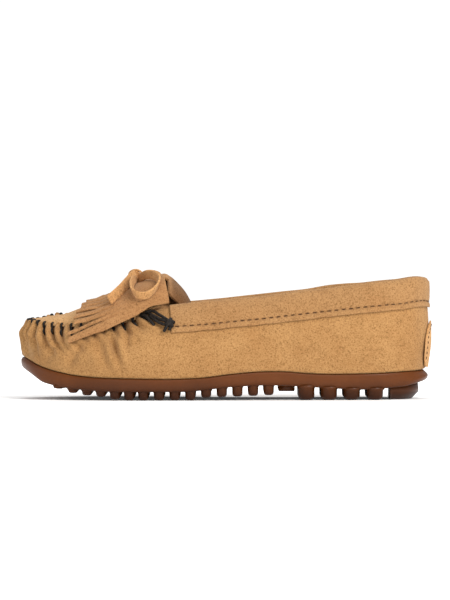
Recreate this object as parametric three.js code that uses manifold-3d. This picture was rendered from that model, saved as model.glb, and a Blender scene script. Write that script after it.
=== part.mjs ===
// A women's kilty moccasin, left shoe, in millimetres.
// +Z is up, the toe points to -X, the heel to +X, and the lateral side is -Y.
// The origin is on the ground under the middle of the shoe's bounding box.
import * as THREE from 'three';
import { mergeVertices } from 'three/addons/utils/BufferGeometryUtils.js';
import Module from 'manifold-3d';

const wasm = await Module();
wasm.setup();

// ---------------------------------------------------------------- driving dimensions

const SUEDE = 1.5;            // thickness of the upper leather
const GAP = 0.35;             // clearance between neighbouring pieces
const COLLAR_GAP = 0.5;       // clearance of the folded collar around the top edge
const RIM_WALL = 2.6;         // thickness of the cup sole's side wall
const WEB = 4.0;              // thickness of the sole between the pegs and the footbed
const STATIONS = 60;          // samples around the shoe
const COLLAR_DROP = 15.7;     // height of the collar band on the outside
const COLLAR_FRONT = -32;     // x of the sole's edge under the collar's front ends
const PLUG_REAR = -38;        // x where the plug ends and the tongue begins
const FRINGE_ROOT = -73.5;    // x where the flap is cut into strips

// Plan outline of the rubber sole, from the toe tip round the lateral side and back.
const SOLE_OUTLINE = [
  [-124.1, 6], [-119, -13], [-105, -29], [-82, -40], [-52, -44.5], [-15, -42],
  [25, -36.5], [65, -33.5], [95, -30], [114.5, -19], [121.7, 0],
  [114.5, 19], [95, 30], [65, 31], [25, 27.5], [-15, 33.5],
  [-46, 42], [-68, 44.5], [-92, 41], [-113, 27],
];

// A smooth curve through points, without overshoot, as a function of the first value.
function profile(points) {
  const n = points.length;
  const slope = [];
  const tangent = [];
  for (let i = 0; i < n - 1; i++) {
    slope.push((points[i + 1][1] - points[i][1]) / (points[i + 1][0] - points[i][0]));
  }
  for (let i = 0; i < n; i++) {
    const before = slope[Math.max(i - 1, 0)];
    const after = slope[Math.min(i, n - 2)];
    tangent.push(before * after > 0 ? (2 * before * after) / (before + after) : 0);
  }
  return (value) => {
    const v = THREE.MathUtils.clamp(value, points[0][0], points[n - 1][0]);
    let i = 0;
    while (i < n - 2 && v > points[i + 1][0]) i++;
    const h = points[i + 1][0] - points[i][0];
    const t = (v - points[i][0]) / h;
    const rise = points[i + 1][1] - points[i][1];
    return points[i][1] + rise * (3 * t * t - 2 * t * t * t)
      + h * (tangent[i] * (t ** 3 - 2 * t * t + t) + tangent[i + 1] * (t ** 3 - t * t));
  };
}

// Heights and offsets along the shoe, each a list of [x, value].
const rimTop = profile([[-126, 27], [-119, 23.2], [-113, 20.2], [-103, 16.8], [-89, 14],
  [-74, 12.8], [-54, 12.3], [-35, 12], [-16, 12.7], [4, 15], [23, 16.6], [33, 16.6],
  [52, 15.3], [66, 14.9], [92, 15.4], [111, 16.5], [126, 17.5]]);
const soleBottom = profile([[-126, 20.5], [-118, 15.6], [-109, 10], [-89, 6.4], [-64, 5],
  [-28, 5], [9, 8.2], [27, 8.8], [64, 7], [82, 6.1], [106, 7.6], [118, 10.7], [126, 14.5]]);
const pegBottom = profile([[-108, 9], [-100, 6.7], [-91, 4.2], [-83, 2.9], [-74, 2.1],
  [-60, 0], [-20, 0], [-10, 1.6], [8, 2.2], [27, 3]]);
const topEdge = profile([[-126, 46.5], [-119, 45.5], [-114, 44.6], [-104, 43.8], [-95, 43.6],
  [-85, 44.3], [-75, 45.2], [-62, 46], [-54, 48.4], [-46, 52.3], [-38, 55.2], [-33, 56],
  [-16, 57.3], [0, 58.8], [21, 60.9], [45, 63.7], [64, 65.9], [80, 67.6], [94, 69.1],
  [106, 70.2], [118, 71.9], [126, 70]]);
const medialRise = profile([[-126, 0], [-119, 1.2], [-113, 3.6], [-108, 5.2], [-103, 5.6],
  [-96, 3.2], [-90, 1.3], [-82, 0.2], [-70, 0], [45, 0], [64, 0.9], [74, 0.6], [86, 0],
  [126, 0]]);
const plugCrest = profile([[-120, 49.5], [-114, 51], [-104, 52.4], [-97, 53.2], [-90, 55],
  [-80, 57.4], [-60, 61.5], [-38, 65.5]]);
const insetLateral = profile([[-126, 3.5], [-118, 5], [-105, 8], [-85, 11.5], [-60, 13.5],
  [-33, 14], [0, 12], [25, 10], [60, 7], [100, 2.5], [118, -0.3], [126, -1.2]]);
const insetMedial = profile([[-126, 3.5], [-118, 5], [-105, 8], [-85, 11.5], [-60, 13],
  [-33, 9], [0, 5], [25, 2], [60, 4], [100, 2], [118, -0.3], [126, -1.2]]);
const footBulge = profile([[-126, -0.9], [-105, 0.2], [95, 0.2], [126, -1]]);
const lowBulge = profile([[-126, 0.9], [-60, 0.8], [0, 0], [60, 0.4], [110, 1.3], [126, 1.6]]);
const midBulge = profile([[-126, 1.3], [-100, 0.2], [-60, -2], [0, -3], [60, -1], [105, 1],
  [126, 2.4]]);

// ---------------------------------------------------------------- surfaces of the shoe

const soleCurve = new THREE.CatmullRomCurve3(
  SOLE_OUTLINE.map(([x, y]) => new THREE.Vector3(x, y, 0)), true, 'centripetal');
soleCurve.arcLengthDivisions = 1200;

function heelFraction() {
  let best = 0;
  for (let i = 0; i <= 1000; i++) {
    const u = 0.3 + (0.4 * i) / 1000;
    if (soleCurve.getPointAt(u).x > soleCurve.getPointAt(best).x) best = u;
  }
  return best;
}
const HEEL = heelFraction();

// A place on the outline: s is 0 at the toe, 0.5 at the heel, and 0.25 is lateral.
function station(s) {
  const turn = s - Math.floor(s);
  const u = turn < 0.5 ? turn * 2 * HEEL : HEEL + (turn - 0.5) * 2 * (1 - HEEL);
  const point = soleCurve.getPointAt(u % 1);
  const along = soleCurve.getTangentAt(u % 1);
  return { x: point.x, y: point.y, outX: along.y, outY: -along.x, lateral: turn < 0.5 };
}

function stationAtX(x, lateral) {
  let low = lateral ? 0 : 1;
  let high = 0.5;
  for (let i = 0; i < 40; i++) {
    const middle = (low + high) / 2;
    if (station(middle).x < x) low = middle;
    else high = middle;
  }
  return (low + high) / 2;
}

function offsetPoint(place, offset, z) {
  return new THREE.Vector3(place.x + place.outX * offset, place.y + place.outY * offset, z);
}

// The height of the upper's top edge, which is higher over the big toe.
function topHeight(place) {
  return topEdge(place.x) + (place.lateral ? 0 : medialRise(place.x));
}

const TURN_OUT = 1.6;         // the upper clears the rim by this height

// The upper's outer surface: v is 0 just above the rim and 1 at the top edge.
function wallPoint(s, v) {
  const place = station(s);
  const base = rimTop(place.x) + TURN_OUT;
  const inset = place.lateral ? insetLateral(place.x) : insetMedial(place.x);
  const section = profile([[0, footBulge(place.x)], [0.3, lowBulge(place.x)],
    [0.65, midBulge(place.x)], [0.88, 0.3 * midBulge(place.x) - 0.5 * inset], [1, -inset]]);
  return offsetPoint(place, section(v), base + v * (topHeight(place) - base));
}

function wallNormal(s, v) {
  const step = 0.002;
  const along = wallPoint(s + step, v).sub(wallPoint(s - step, v));
  const lower = wallPoint(s, Math.max(v - 0.02, 0));
  const up = wallPoint(s, Math.min(v + 0.02, 1)).sub(lower);
  return along.cross(up).normalize();
}

function wallLevel(s, z) {
  const place = station(s);
  const base = rimTop(place.x) + TURN_OUT;
  return THREE.MathUtils.clamp((z - base) / (topHeight(place) - base), 0, 1);
}

// A point off the upper's outer surface, at height z; lift is along its normal.
function onWall(s, z, lift) {
  const v = wallLevel(s, z);
  return wallPoint(s, v).addScaledVector(wallNormal(s, v), lift);
}

function ringAt(offset, height) {
  const ring = [];
  for (let k = 0; k < STATIONS; k++) {
    const point = offsetPoint(station(k / STATIONS), offset, 0);
    ring.push(point.setZ(height(point.x)));
  }
  return ring;
}

// ---------------------------------------------------------------- solids from points

function geometryOf(points, faces) {
  const geometry = new THREE.BufferGeometry();
  const flat = points.flatMap((point) => [point.x, point.y, point.z]);
  geometry.setAttribute('position', new THREE.Float32BufferAttribute(flat, 3));
  geometry.setIndex(faces.flat());
  geometry.computeVertexNormals();
  return geometry;
}

function quad(faces, a, b, c, d) {
  faces.push([a, b, c], [a, c, d]);
}

// Rungs from the lateral to the medial side, which close a ring of stations.
function ladder(first, up) {
  const faces = [];
  const half = STATIONS / 2;
  for (let k = 0; k < half; k++) {
    const corners = [k, k + 1, (STATIONS - k - 1) % STATIONS, (STATIONS - k) % STATIONS];
    const [a, b, c, d] = [...new Set(corners)].map((corner) => first + corner);
    const halves = d === undefined ? [[a, b, c]] : [[a, b, c], [a, c, d]];
    faces.push(...halves.map((face) => (up ? face : face.reverse())));
  }
  return faces;
}

// Joins rings of stations, listed outwards and up from the underside, into one solid.
function stack(rings) {
  const faces = ladder(0, false);
  for (let r = 0; r < rings.length - 1; r++) {
    for (let k = 0; k < STATIONS; k++) {
      const next = (k + 1) % STATIONS;
      const row = r * STATIONS;
      quad(faces, row + k, row + next, row + STATIONS + next, row + STATIONS + k);
    }
  }
  faces.push(...ladder((rings.length - 1) * STATIONS, true));
  return geometryOf(rings.flat(), faces);
}

function gridNormals(grid, wrap) {
  const last = grid.length - 1;
  return grid.map((row, r) => row.map((point, c) => {
    const count = row.length;
    const after = wrap ? row[(c + 1) % count] : row[Math.min(c + 1, count - 1)];
    const before = wrap ? row[(c + count - 1) % count] : row[Math.max(c - 1, 0)];
    const across = after.clone().sub(before);
    const along = grid[Math.min(r + 1, last)][c].clone().sub(grid[Math.max(r - 1, 0)][c]);
    return across.cross(along).normalize();
  }));
}

// A sheet with thickness: grid rows and columns, moved along the normal from low to high.
function sheet(grid, low, high, { wrap = false, keep = () => true } = {}) {
  const normals = gridNormals(grid, wrap);
  const columns = grid[0].length;
  const cells = wrap ? columns : columns - 1;
  const points = [];
  const faces = [];
  const seen = new Map();
  const at = (side, r, c) => {
    const column = c % columns;
    const key = `${side},${r},${column}`;
    if (!seen.has(key)) {
      seen.set(key, points.length);
      points.push(grid[r][column].clone().addScaledVector(normals[r][column], side ? high : low));
    }
    return seen.get(key);
  };
  const kept = (r, c) => {
    if (r < 0 || r > grid.length - 2) return false;
    if (!wrap && (c < 0 || c > cells - 1)) return false;
    return keep(r, (c + cells) % cells);
  };
  for (let r = 0; r < grid.length - 1; r++) {
    for (let c = 0; c < cells; c++) {
      if (!kept(r, c)) continue;
      quad(faces, at(1, r, c), at(1, r, c + 1), at(1, r + 1, c + 1), at(1, r + 1, c));
      quad(faces, at(0, r, c), at(0, r + 1, c), at(0, r + 1, c + 1), at(0, r, c + 1));
      if (!kept(r - 1, c)) quad(faces, at(0, r, c), at(0, r, c + 1), at(1, r, c + 1), at(1, r, c));
      if (!kept(r + 1, c)) {
        quad(faces, at(0, r + 1, c + 1), at(0, r + 1, c), at(1, r + 1, c), at(1, r + 1, c + 1));
      }
      if (!kept(r, c - 1)) quad(faces, at(0, r + 1, c), at(0, r, c), at(1, r, c), at(1, r + 1, c));
      if (!kept(r, c + 1)) {
        quad(faces, at(0, r, c + 1), at(0, r + 1, c + 1), at(1, r + 1, c + 1), at(1, r, c + 1));
      }
    }
  }
  return geometryOf(points, faces);
}

function toManifold(geometry) {
  const bare = geometry.clone();
  bare.deleteAttribute('normal');
  bare.deleteAttribute('uv');
  const merged = mergeVertices(bare, 1e-4);
  return new wasm.Manifold(new wasm.Mesh({
    numProp: 3,
    vertProperties: Float32Array.from(merged.attributes.position.array),
    triVerts: Uint32Array.from(merged.index.array),
  }));
}

function union(geometries) {
  const solid = geometries.map(toManifold).reduce((sum, piece) => sum.add(piece));
  const mesh = solid.getMesh();
  const geometry = new THREE.BufferGeometry();
  geometry.setAttribute('position', new THREE.Float32BufferAttribute(mesh.vertProperties, 3));
  geometry.setIndex(Array.from(mesh.triVerts));
  geometry.computeVertexNormals();
  return geometry;
}

// A round tube along a smooth curve through points.
function tube(points, radius, sides) {
  const corners = Array.from({ length: sides }, (_, i) => (
    new THREE.Vector2(radius, 0).rotateAround(new THREE.Vector2(), (2 * Math.PI * i) / sides)
  ));
  const shape = new THREE.Shape(corners);
  const path = new THREE.CatmullRomCurve3(points, false, 'centripetal');
  return new THREE.ExtrudeGeometry(shape, {
    steps: points.length - 1, bevelEnabled: false, extrudePath: path,
  });
}

// ---------------------------------------------------------------- sole and footbed

const PEG_ROOT = 1.5;         // how far a peg runs into the sole
const EDGE_INSET = 5.2;       // from the sole's edge to the outer row of pegs
const PEG_PITCH_ACROSS = 13;

function peg(x, y, radius, bottom, sides) {
  const top = soleBottom(x) + PEG_ROOT;
  const geometry = new THREE.CylinderGeometry(radius, radius * 0.86, top - bottom, sides);
  geometry.rotateX(Math.PI / 2);
  return geometry.translate(x, y, (top + bottom) / 2);
}

function pegRow(x, radius, bottom, sides, pitch) {
  const left = station(stationAtX(x, true)).y + EDGE_INSET;
  const right = station(stationAtX(x, false)).y - EDGE_INSET;
  const count = Math.max(2, Math.round((right - left) / pitch) + 1);
  const row = [];
  for (let i = 0; i < count; i++) {
    row.push(peg(x, left + ((right - left) * i) / (count - 1), radius, bottom, sides));
  }
  return row;
}

function forefootPegs() {
  const rows = [];
  for (let i = 0; i < 7; i++) rows.push(-100 + 8.5 * i);
  for (let i = 1; i <= 8; i++) rows.push(-49 + 9.45 * i);
  return rows.flatMap((x) => pegRow(x, 3.15, pegBottom(x), 5, PEG_PITCH_ACROSS));
}

function heelPegs() {
  const rows = [49.4, 63, 76.9, 90.9];
  return rows.flatMap((x) => pegRow(x, 4.9, 0, 6, 14));
}

// The flat bar across the waist, between the forefoot and heel pegs.
function waistBar() {
  const height = 6;
  const bottom = 5.2;
  return new THREE.BoxGeometry(10, 48, height).translate(37.4, -4, bottom + height / 2);
}

// The heel block follows the heel's edge behind a straight front face.
function heelBlock() {
  const frontX = 100.2;
  const from = stationAtX(frontX, true);
  const to = stationAtX(frontX, false);
  const slices = [[-8.8, 0], [-4.4, 6], [-4.2, 9.5]];
  const count = 12;
  const points = slices.flatMap(([offset, z]) => {
    const outline = [];
    for (let i = 0; i <= count; i++) {
      const point = offsetPoint(station(from + ((to - from) * i) / count), offset, z);
      outline.push(point.setX(Math.max(point.x, frontX)));
    }
    return outline;
  });
  const size = count + 1;
  const faces = [];
  for (let i = 1; i < count; i++) {
    faces.push([0, i + 1, i], [2 * size, 2 * size + i, 2 * size + i + 1]);
  }
  for (let r = 0; r < slices.length - 1; r++) {
    for (let i = 0; i < size; i++) {
      const next = (i + 1) % size;
      quad(faces, r * size + i, r * size + next, (r + 1) * size + next, (r + 1) * size + i);
    }
  }
  return geometryOf(points, faces);
}

function outsole() {
  const floor = (x) => soleBottom(x) + WEB;
  const cup = stack([
    ringAt(-3.5, soleBottom),
    ringAt(-0.6, (x) => soleBottom(x) + 0.7),
    ringAt(0, (x) => soleBottom(x) + 2.2),
    ringAt(0, (x) => rimTop(x) - 0.7),
    ringAt(-0.6, rimTop),
    ringAt(-RIM_WALL, rimTop),
    ringAt(-RIM_WALL, floor),
  ]);
  return union([cup, ...forefootPegs(), waistBar(), ...heelPegs(), heelBlock()]);
}

const LAYER_GAP = 0.55;
const BED_INSET = 5.2;

function bedLayer(bottom, thickness) {
  const level = (x) => soleBottom(x) + WEB + bottom;
  const outer = ringAt(-BED_INSET, level);
  return stack([outer, ringAt(-BED_INSET, (x) => level(x) + thickness)]);
}

const BOARD = 1.5;
const FOAM = 4;
const SOCK = 1;

function insoleBoard() {
  return bedLayer(LAYER_GAP, BOARD);
}

function foamCushion() {
  return bedLayer(2 * LAYER_GAP + BOARD, FOAM);
}

function sockLiner() {
  return bedLayer(3 * LAYER_GAP + BOARD + FOAM, SOCK);
}

// ---------------------------------------------------------------- upper

// The suede wrap: tucked inside the sole's rim, then up the foot to the seam and topline.
function upperWrap() {
  const tuck = -RIM_WALL - GAP;
  const rows = [
    (s) => offsetPoint(station(s), tuck, soleBottom(station(s).x) + WEB + GAP),
    (s) => offsetPoint(station(s), tuck, rimTop(station(s).x) + GAP),
    ...[0, 0.2, 0.4, 0.6, 0.78, 0.9, 1].map((v) => (s) => wallPoint(s, v)),
  ];
  const grid = rows.map((row) => {
    const line = [];
    for (let k = 0; k < STATIONS; k++) line.push(row(k / STATIONS));
    return line;
  });
  return sheet(grid, -SUEDE, 0, { wrap: true });
}

// The outer edge of the plug, lying on top of the upper's gathered edge.
function seamPoint(s) {
  const place = station(s);
  const inset = place.lateral ? insetLateral(place.x) : insetMedial(place.x);
  return offsetPoint(place, 0.8 - inset, topHeight(place) + 0.5);
}

// The apron over the toes: a domed patch whose front row runs round the toe.
function plug() {
  const half = 4;
  const rows = 9;
  const corner = 0.055;
  const rearLateral = stationAtX(PLUG_REAR, true);
  const rearMedial = stationAtX(PLUG_REAR, false) - 1;
  const grid = [];
  for (let r = 0; r <= rows; r++) {
    const t = r / rows;
    const fade = (1 - t) ** 2;
    const left = seamPoint(corner + (rearLateral - corner) * t);
    const right = seamPoint(-corner + (rearMedial + corner) * t);
    const line = [];
    for (let j = half; j >= -half; j--) {
      const across = (j + half) / (2 * half);
      const chord = left.clone().lerp(right, across);
      const frontChord = seamPoint(corner).lerp(seamPoint(-corner), across);
      const point = chord.add(seamPoint((-corner * j) / half).sub(frontChord).multiplyScalar(fade));
      const crown = (1 - (j / half) ** 2) ** 0.7 * (1 - Math.max(0, 1 - r / 4) ** 2);
      point.z += Math.max(0, plugCrest(point.x) - SUEDE - point.z) * crown;
      line.push(point);
    }
    grid.push(line);
  }
  return sheet(grid, 0, SUEDE - 0.1);
}

// The collar band: up the outside, over the topline and a little way down the inside.
function collarSection(s) {
  const top = topHeight(station(s));
  const crown = wallPoint(s, 1);
  const normal = wallNormal(s, 1);
  const rise = crown.clone().sub(wallPoint(s, 0.97)).normalize();
  const outside = [COLLAR_DROP, 11, 5, 0].map((drop) => onWall(s, top - drop, COLLAR_GAP));
  const inside = [0, 4.5, 9].map((drop) => onWall(s, top - drop, -SUEDE - COLLAR_GAP));
  const middle = crown.addScaledVector(normal, -SUEDE / 2).addScaledVector(rise, 1);
  return [...outside, middle, ...inside];
}

// The stations between two places, with the places themselves at the ends.
function stationsBetween(from, to) {
  const stops = [from];
  for (let k = 0; k < STATIONS; k++) {
    const s = k / STATIONS;
    if (s > from + 0.004 && s < to - 0.004) stops.push(s);
  }
  return [...stops, to];
}

function collar() {
  const from = stationAtX(COLLAR_FRONT, true);
  const to = stationAtX(COLLAR_FRONT + 2.5, false);
  const sections = stationsBetween(from, to).map(collarSection);
  const grid = sections[0].map((_, r) => sections.map((section) => section[r]));
  return sheet(grid, 0, SUEDE);
}

// The dark thread that holds the collar's lower edge, lying just outside the band.
function collarStitch() {
  const steps = 48;
  const from = stationAtX(COLLAR_FRONT + 1.5, true);
  const to = stationAtX(COLLAR_FRONT + 1.5, false);
  const points = [];
  for (let i = 0; i <= steps; i++) {
    const s = from + ((to - from) * i) / steps;
    points.push(onWall(s, topHeight(station(s)) - COLLAR_DROP + 3.6, COLLAR_GAP + SUEDE + 0.7));
  }
  return tube(points, 0.3, 4);
}

// ---------------------------------------------------------------- heel pieces

// A piece on the heel between two stations, from a lower height to an arched top.
function heelPiece(halfSpan, bottom, top, low, high, columns) {
  const levels = 5;
  const grid = [];
  for (let r = 0; r <= levels; r++) {
    const line = [];
    for (let i = 0; i <= columns; i++) {
      const a = (2 * i) / columns - 1;
      const s = 0.5 + halfSpan * a;
      const foot = bottom(station(s).x);
      line.push(onWall(s, foot + (top(a) - foot) * (r / levels), 0));
    }
    grid.push(line);
  }
  return sheet(grid, low, high);
}

const PATCH_SPAN = 0.024;
const patchFoot = (x) => rimTop(x) + TURN_OUT + 0.4;
const patchTop = (a) => 33 + 15 * Math.sqrt(Math.max(0, 1 - (0.98 * a) ** 2));

function heelPatch() {
  return heelPiece(PATCH_SPAN, patchFoot, patchTop, GAP, GAP + 1.2, 12);
}

function heelPatchStitch() {
  const points = [];
  const steps = 28;
  for (let i = 0; i <= steps; i++) {
    const angle = Math.PI * (i / steps);
    const a = -0.86 * Math.cos(angle);
    const s = 0.5 + PATCH_SPAN * a;
    const low = patchFoot(station(s).x) + 2;
    const z = low + (patchTop(a) - 2.2 - low) * Math.min(1, 1.6 * Math.sin(angle));
    points.push(onWall(s, z, GAP + 1.2 + 0.7));
  }
  return tube(points, 0.3, 4);
}

const COUNTER = 1.2;
const LINING = 0.8;
const bedTop = (x) => soleBottom(x) + WEB + 3 * LAYER_GAP + BOARD + FOAM + SOCK;

function heelCounter() {
  const low = -SUEDE - GAP - COUNTER;
  const span = 6 / STATIONS;
  return heelPiece(span, (x) => bedTop(x) + 2, (a) => 50 - 10 * a * a, low, -SUEDE - GAP, 12);
}

function heelLining() {
  const high = -SUEDE - 2 * GAP - COUNTER;
  const span = 7 / STATIONS;
  return heelPiece(span, (x) => bedTop(x) + 0.8, (a) => 57 - 8 * a * a, high - LINING, high, 14);
}

// ---------------------------------------------------------------- tongue, flap and fringe

const FLAP = 1.4;             // thickness of the tongue and flap leather
const NARROW = 0.64;          // share of the flap's half arch that runs back to the fold

// Shares of the half arch where the strips are slit, from the edge to the middle.
const SLITS_AT_ROOT = [1, 0.87, 0.79, 0.665, 0.545, 0.43, 0.32, 0.212, 0.106, 0];
const SLITS_AT_TIP = [1, 0.943, 0.866, 0.7, 0.575, 0.455, 0.34, 0.225, 0.112, 0];
const flapEdgeLateral = profile([[-96, 38.6], [-82, 40.6], [-73.5, 39.6], [-58, 37.5], [-45, 35.5],
  [-38, 34], [-33, 32.5]]);
const flapEdgeMedial = profile([[-96, 43.8], [-82, 44.7], [-73.5, 42.8], [-58, 38.5], [-45, 36],
  [-38, 34.5], [-33, 33]]);
const flapEdgeHeight = profile([[-96, 32.5], [-82, 38], [-73.5, 41.5], [-63.4, 46.4],
  [-58, 48.8], [-49, 53.4], [-43, 57], [-38.7, 58.9], [-33, 58.4]]);

// A point of an arch over the instep: a is -1 at the lateral edge and 1 at the medial edge.
function archPoint(a, crest, edge) {
  const angle = (Math.PI / 2) * a;
  const wide = a < 0 ? edge.lateral : edge.medial;
  const x = crest.x + (edge.x - crest.x) * a * a;
  const z = edge.z + (crest.z - edge.z) * Math.max(0, Math.cos(angle)) ** 0.75;
  return new THREE.Vector3(x, wide * Math.sin(angle), z);
}

function edgeAt(x) {
  return { x, lateral: flapEdgeLateral(x), medial: flapEdgeMedial(x), z: flapEdgeHeight(x) };
}

function narrowEdge(x, wide, z) {
  return { x, lateral: wide, medial: wide, z };
}

// The folded-over kilty flap, from the fold behind the crest to the roots of the fringe.
function kiltyFlap() {
  const arches = [
    [{ x: -20.3, z: 58.7 }, narrowEdge(-20.3, 22, 38.6)],
    [{ x: -24, z: 65.2 }, narrowEdge(-24, 25, 41)],
    [{ x: -28.5, z: 70.4 }, narrowEdge(-28.5, 27.5, 43.6)],
    [{ x: -33, z: 74.5 }, narrowEdge(-32.6, 30.5, 48.7)],
    [{ x: -36.9, z: 76.2 }, edgeAt(-33.6)],
    [{ x: -45, z: 73.6 }, edgeAt(-43)],
    [{ x: -55, z: 69.8 }, edgeAt(-54)],
    [{ x: -65, z: 66.2 }, edgeAt(-64.5)],
    [{ x: FRINGE_ROOT + 2 * GAP, z: 63.2 }, edgeAt(FRINGE_ROOT + 2 * GAP)],
  ];
  const columns = [-1, -0.82, -NARROW, -0.46, -0.3, -0.15, 0, 0.15, 0.3, 0.46, NARROW, 0.82, 1];
  const grid = arches.map(([crest, edge]) => columns.map((a) => archPoint(a, crest, edge)));
  const rearRows = 4;
  const inside = (a) => Math.abs(a) <= NARROW;
  const keep = (r, c) => r >= rearRows || (inside(columns[c]) && inside(columns[c + 1]));
  return sheet(grid, -FLAP, 0, { keep });
}

// The two edges of every strip, lateral to medial, as shares of the arch.
function stripEdges(slits, gap) {
  const half = slits.map((a) => -a);
  const bounds = [...half, ...slits.slice(0, -1).reverse()];
  return bounds.slice(1).flatMap((right, i) => (
    [i === 0 ? -1 : bounds[i] + gap, right === 1 ? 1 : right - gap]
  ));
}

// The strips beyond the bend line: one leather piece, slit from the tips to a short root band.
function kiltyFringe() {
  const rootEdges = stripEdges(SLITS_AT_ROOT, 0.009);
  const tipEdges = stripEdges(SLITS_AT_TIP, 0.009);
  const shares = [0, 0.12, 0.4, 0.7, 1];
  const grid = shares.map((t) => rootEdges.map((rootEdge, i) => {
    const a = tipEdges[i];
    const tip = archPoint(a, { x: -82.5, z: 60 }, edgeAt(-95.5));
    tip.x = -82.5 - 13 * Math.abs(a) ** 1.2;
    return archPoint(rootEdge, { x: FRINGE_ROOT, z: 63.2 }, edgeAt(FRINGE_ROOT)).lerp(tip, t);
  }));
  return sheet(grid, -FLAP, 0, { keep: (r, c) => r === 0 || c % 2 === 0 });
}

// The tongue under the flap, from the plug's rear edge down to the fold.
function tongue() {
  const arches = [
    [{ x: PLUG_REAR + 0.6, z: 64.6 }, { z: 58.4, half: 20.3 }],
    [{ x: -31, z: 62 }, { z: 56.2, half: 18.6 }],
    [{ x: -25, z: 58.6 }, { z: 53.2, half: 16.8 }],
    [{ x: -20, z: 55.4 }, { z: 50.8, half: 15.2 }],
  ];
  const grid = arches.map(([crest, edge]) => {
    const line = [];
    for (let i = 0; i <= 8; i++) {
      const a = 1 - i / 4;
      line.push(new THREE.Vector3(crest.x, edge.half * a, edge.z + (crest.z - edge.z) * (1 - a * a)));
    }
    return line;
  });
  return sheet(grid, -FLAP, 0);
}

// ---------------------------------------------------------------- cord and lace

// The waxed cord that whips the plug to the upper, with a knot at each end.
function plugCord() {
  const knotX = -36.8;
  const points = [];
  const ends = [[knotX, 46.2, 2.9], [-40, 47.6, 1.7], [-44, 49, 1.7], [-49, 50, 3.2],
    [-52.5, 50.9, 3.4]];
  ends.forEach(([x, z, lift]) => points.push(onWall(stationAtX(x, true), z, lift)));
  const from = stationAtX(-56, true);
  const to = stationAtX(-56, false) - 1;
  const waves = 29;
  for (let i = 0; i <= waves * 4; i++) {
    const place = station(from + ((to - from) * i) / (waves * 4));
    const inset = place.lateral ? insetLateral(place.x) : insetMedial(place.x);
    const angle = THREE.MathUtils.degToRad(64 + 32 * Math.cos((Math.PI * i) / 2));
    points.push(offsetPoint(place, 0.8 - inset + 2.2 * Math.cos(angle),
      topHeight(place) + 1.9 + 2.2 * Math.sin(angle)));
  }
  ends.reverse();
  ends.forEach(([x, z, lift]) => points.push(onWall(stationAtX(x, false), z, lift)));
  const knots = [points[0], points[points.length - 1]].map((centre) => {
    const ball = new THREE.SphereGeometry(3, 8, 6);
    return ball.scale(1.1, 0.72, 1).translate(centre.x, centre.y, centre.z);
  });
  return union([tube(points, 0.85, 5), ...knots]);
}

const LACE_WIDTH = 4.6;
const LACE_THICK = 1.3;
const MEDIAL_SPREAD = 1.1;    // the medial loop and tail reach further out than the lateral ones

// A flat lace along points, its width standing along one direction.
function ribbon(points, wide) {
  const half = wide.clone().normalize().multiplyScalar(LACE_WIDTH / 2);
  const path = new THREE.CatmullRomCurve3(points, false, 'centripetal');
  const grid = path.getPoints(points.length * 2).map((point) => (
    [point.clone().sub(half), point.clone().add(half)]
  ));
  return sheet(grid, -LACE_THICK / 2, LACE_THICK / 2);
}

// The suede bow: a knot, a loop and a tail on each side, all of one lace.
function bowLace() {
  const loop = [[-54.5, -1, 75], [-57.5, -17, 73.5], [-58, -29, 68.5], [-55.5, -36, 64.3],
    [-48.5, -38, 63.2], [-42, -36, 67], [-41, -27, 73], [-45, -15, 75.7], [-50, -7, 75.7],
    [-53, -1, 75]];
  const tail = [[-54, -2, 75.6], [-58.2, -11.5, 72.1], [-62.7, -23, 67.6], [-66.4, -28.5, 64.2],
    [-70, -33.5, 60.8]];
  const knot = new THREE.SphereGeometry(1, 10, 8).scale(4.6, 5.2, 4.1).translate(-54.3, 0, 74.9);
  const pieces = [1, -MEDIAL_SPREAD].flatMap((side) => {
    const place = ([x, y, z]) => new THREE.Vector3(x, side * y, z);
    const outwards = Math.sign(side);
    return [
      ribbon(loop.map(place), new THREE.Vector3(-0.3, -0.3 * outwards, 0.9)),
      ribbon(tail.map(place), new THREE.Vector3(-0.55, -0.15 * outwards, 0.8)),
    ];
  });
  return union([knot, ...pieces]);
}

// ---------------------------------------------------------------- assembly

const LEATHER = { color: 0xc89660, roughness: 0.95, metalness: 0 };
const RUBBER = { color: 0x74452d, roughness: 0.5, metalness: 0 };
const CORD = { color: 0x1c1712, roughness: 0.7, metalness: 0 };
const THREAD = { color: 0x4a2f1c, roughness: 0.8, metalness: 0 };
const BOARD_LOOK = { color: 0xb9a384, roughness: 0.9, metalness: 0 };
const FOAM_LOOK = { color: 0xe8e0cc, roughness: 1, metalness: 0 };
const SOCK_LOOK = { color: 0xb98a5c, roughness: 0.8, metalness: 0 };

const PIECES = [
  ['outsole', outsole, RUBBER],
  ['insole_board', insoleBoard, BOARD_LOOK],
  ['foam_cushion', foamCushion, FOAM_LOOK],
  ['sock_liner', sockLiner, SOCK_LOOK],
  ['upper_wrap', upperWrap, LEATHER],
  ['plug', plug, LEATHER],
  ['collar_band', collar, LEATHER],
  ['collar_thread', collarStitch, THREAD],
  ['heel_patch', heelPatch, LEATHER],
  ['heel_patch_thread', heelPatchStitch, THREAD],
  ['heel_counter', heelCounter, BOARD_LOOK],
  ['heel_lining', heelLining, SOCK_LOOK],
  ['plug_cord', plugCord, CORD],
  ['tongue', tongue, LEATHER],
  ['kilty_flap', kiltyFlap, LEATHER],
  ['kilty_fringe', kiltyFringe, LEATHER],
  ['bow_lace', bowLace, LEATHER],
];

const group = new THREE.Group();
for (const [name, make, look] of PIECES) {
  const mesh = new THREE.Mesh(make(), new THREE.MeshStandardMaterial(look));
  mesh.name = name;
  group.add(mesh);
}

export default group;
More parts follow.
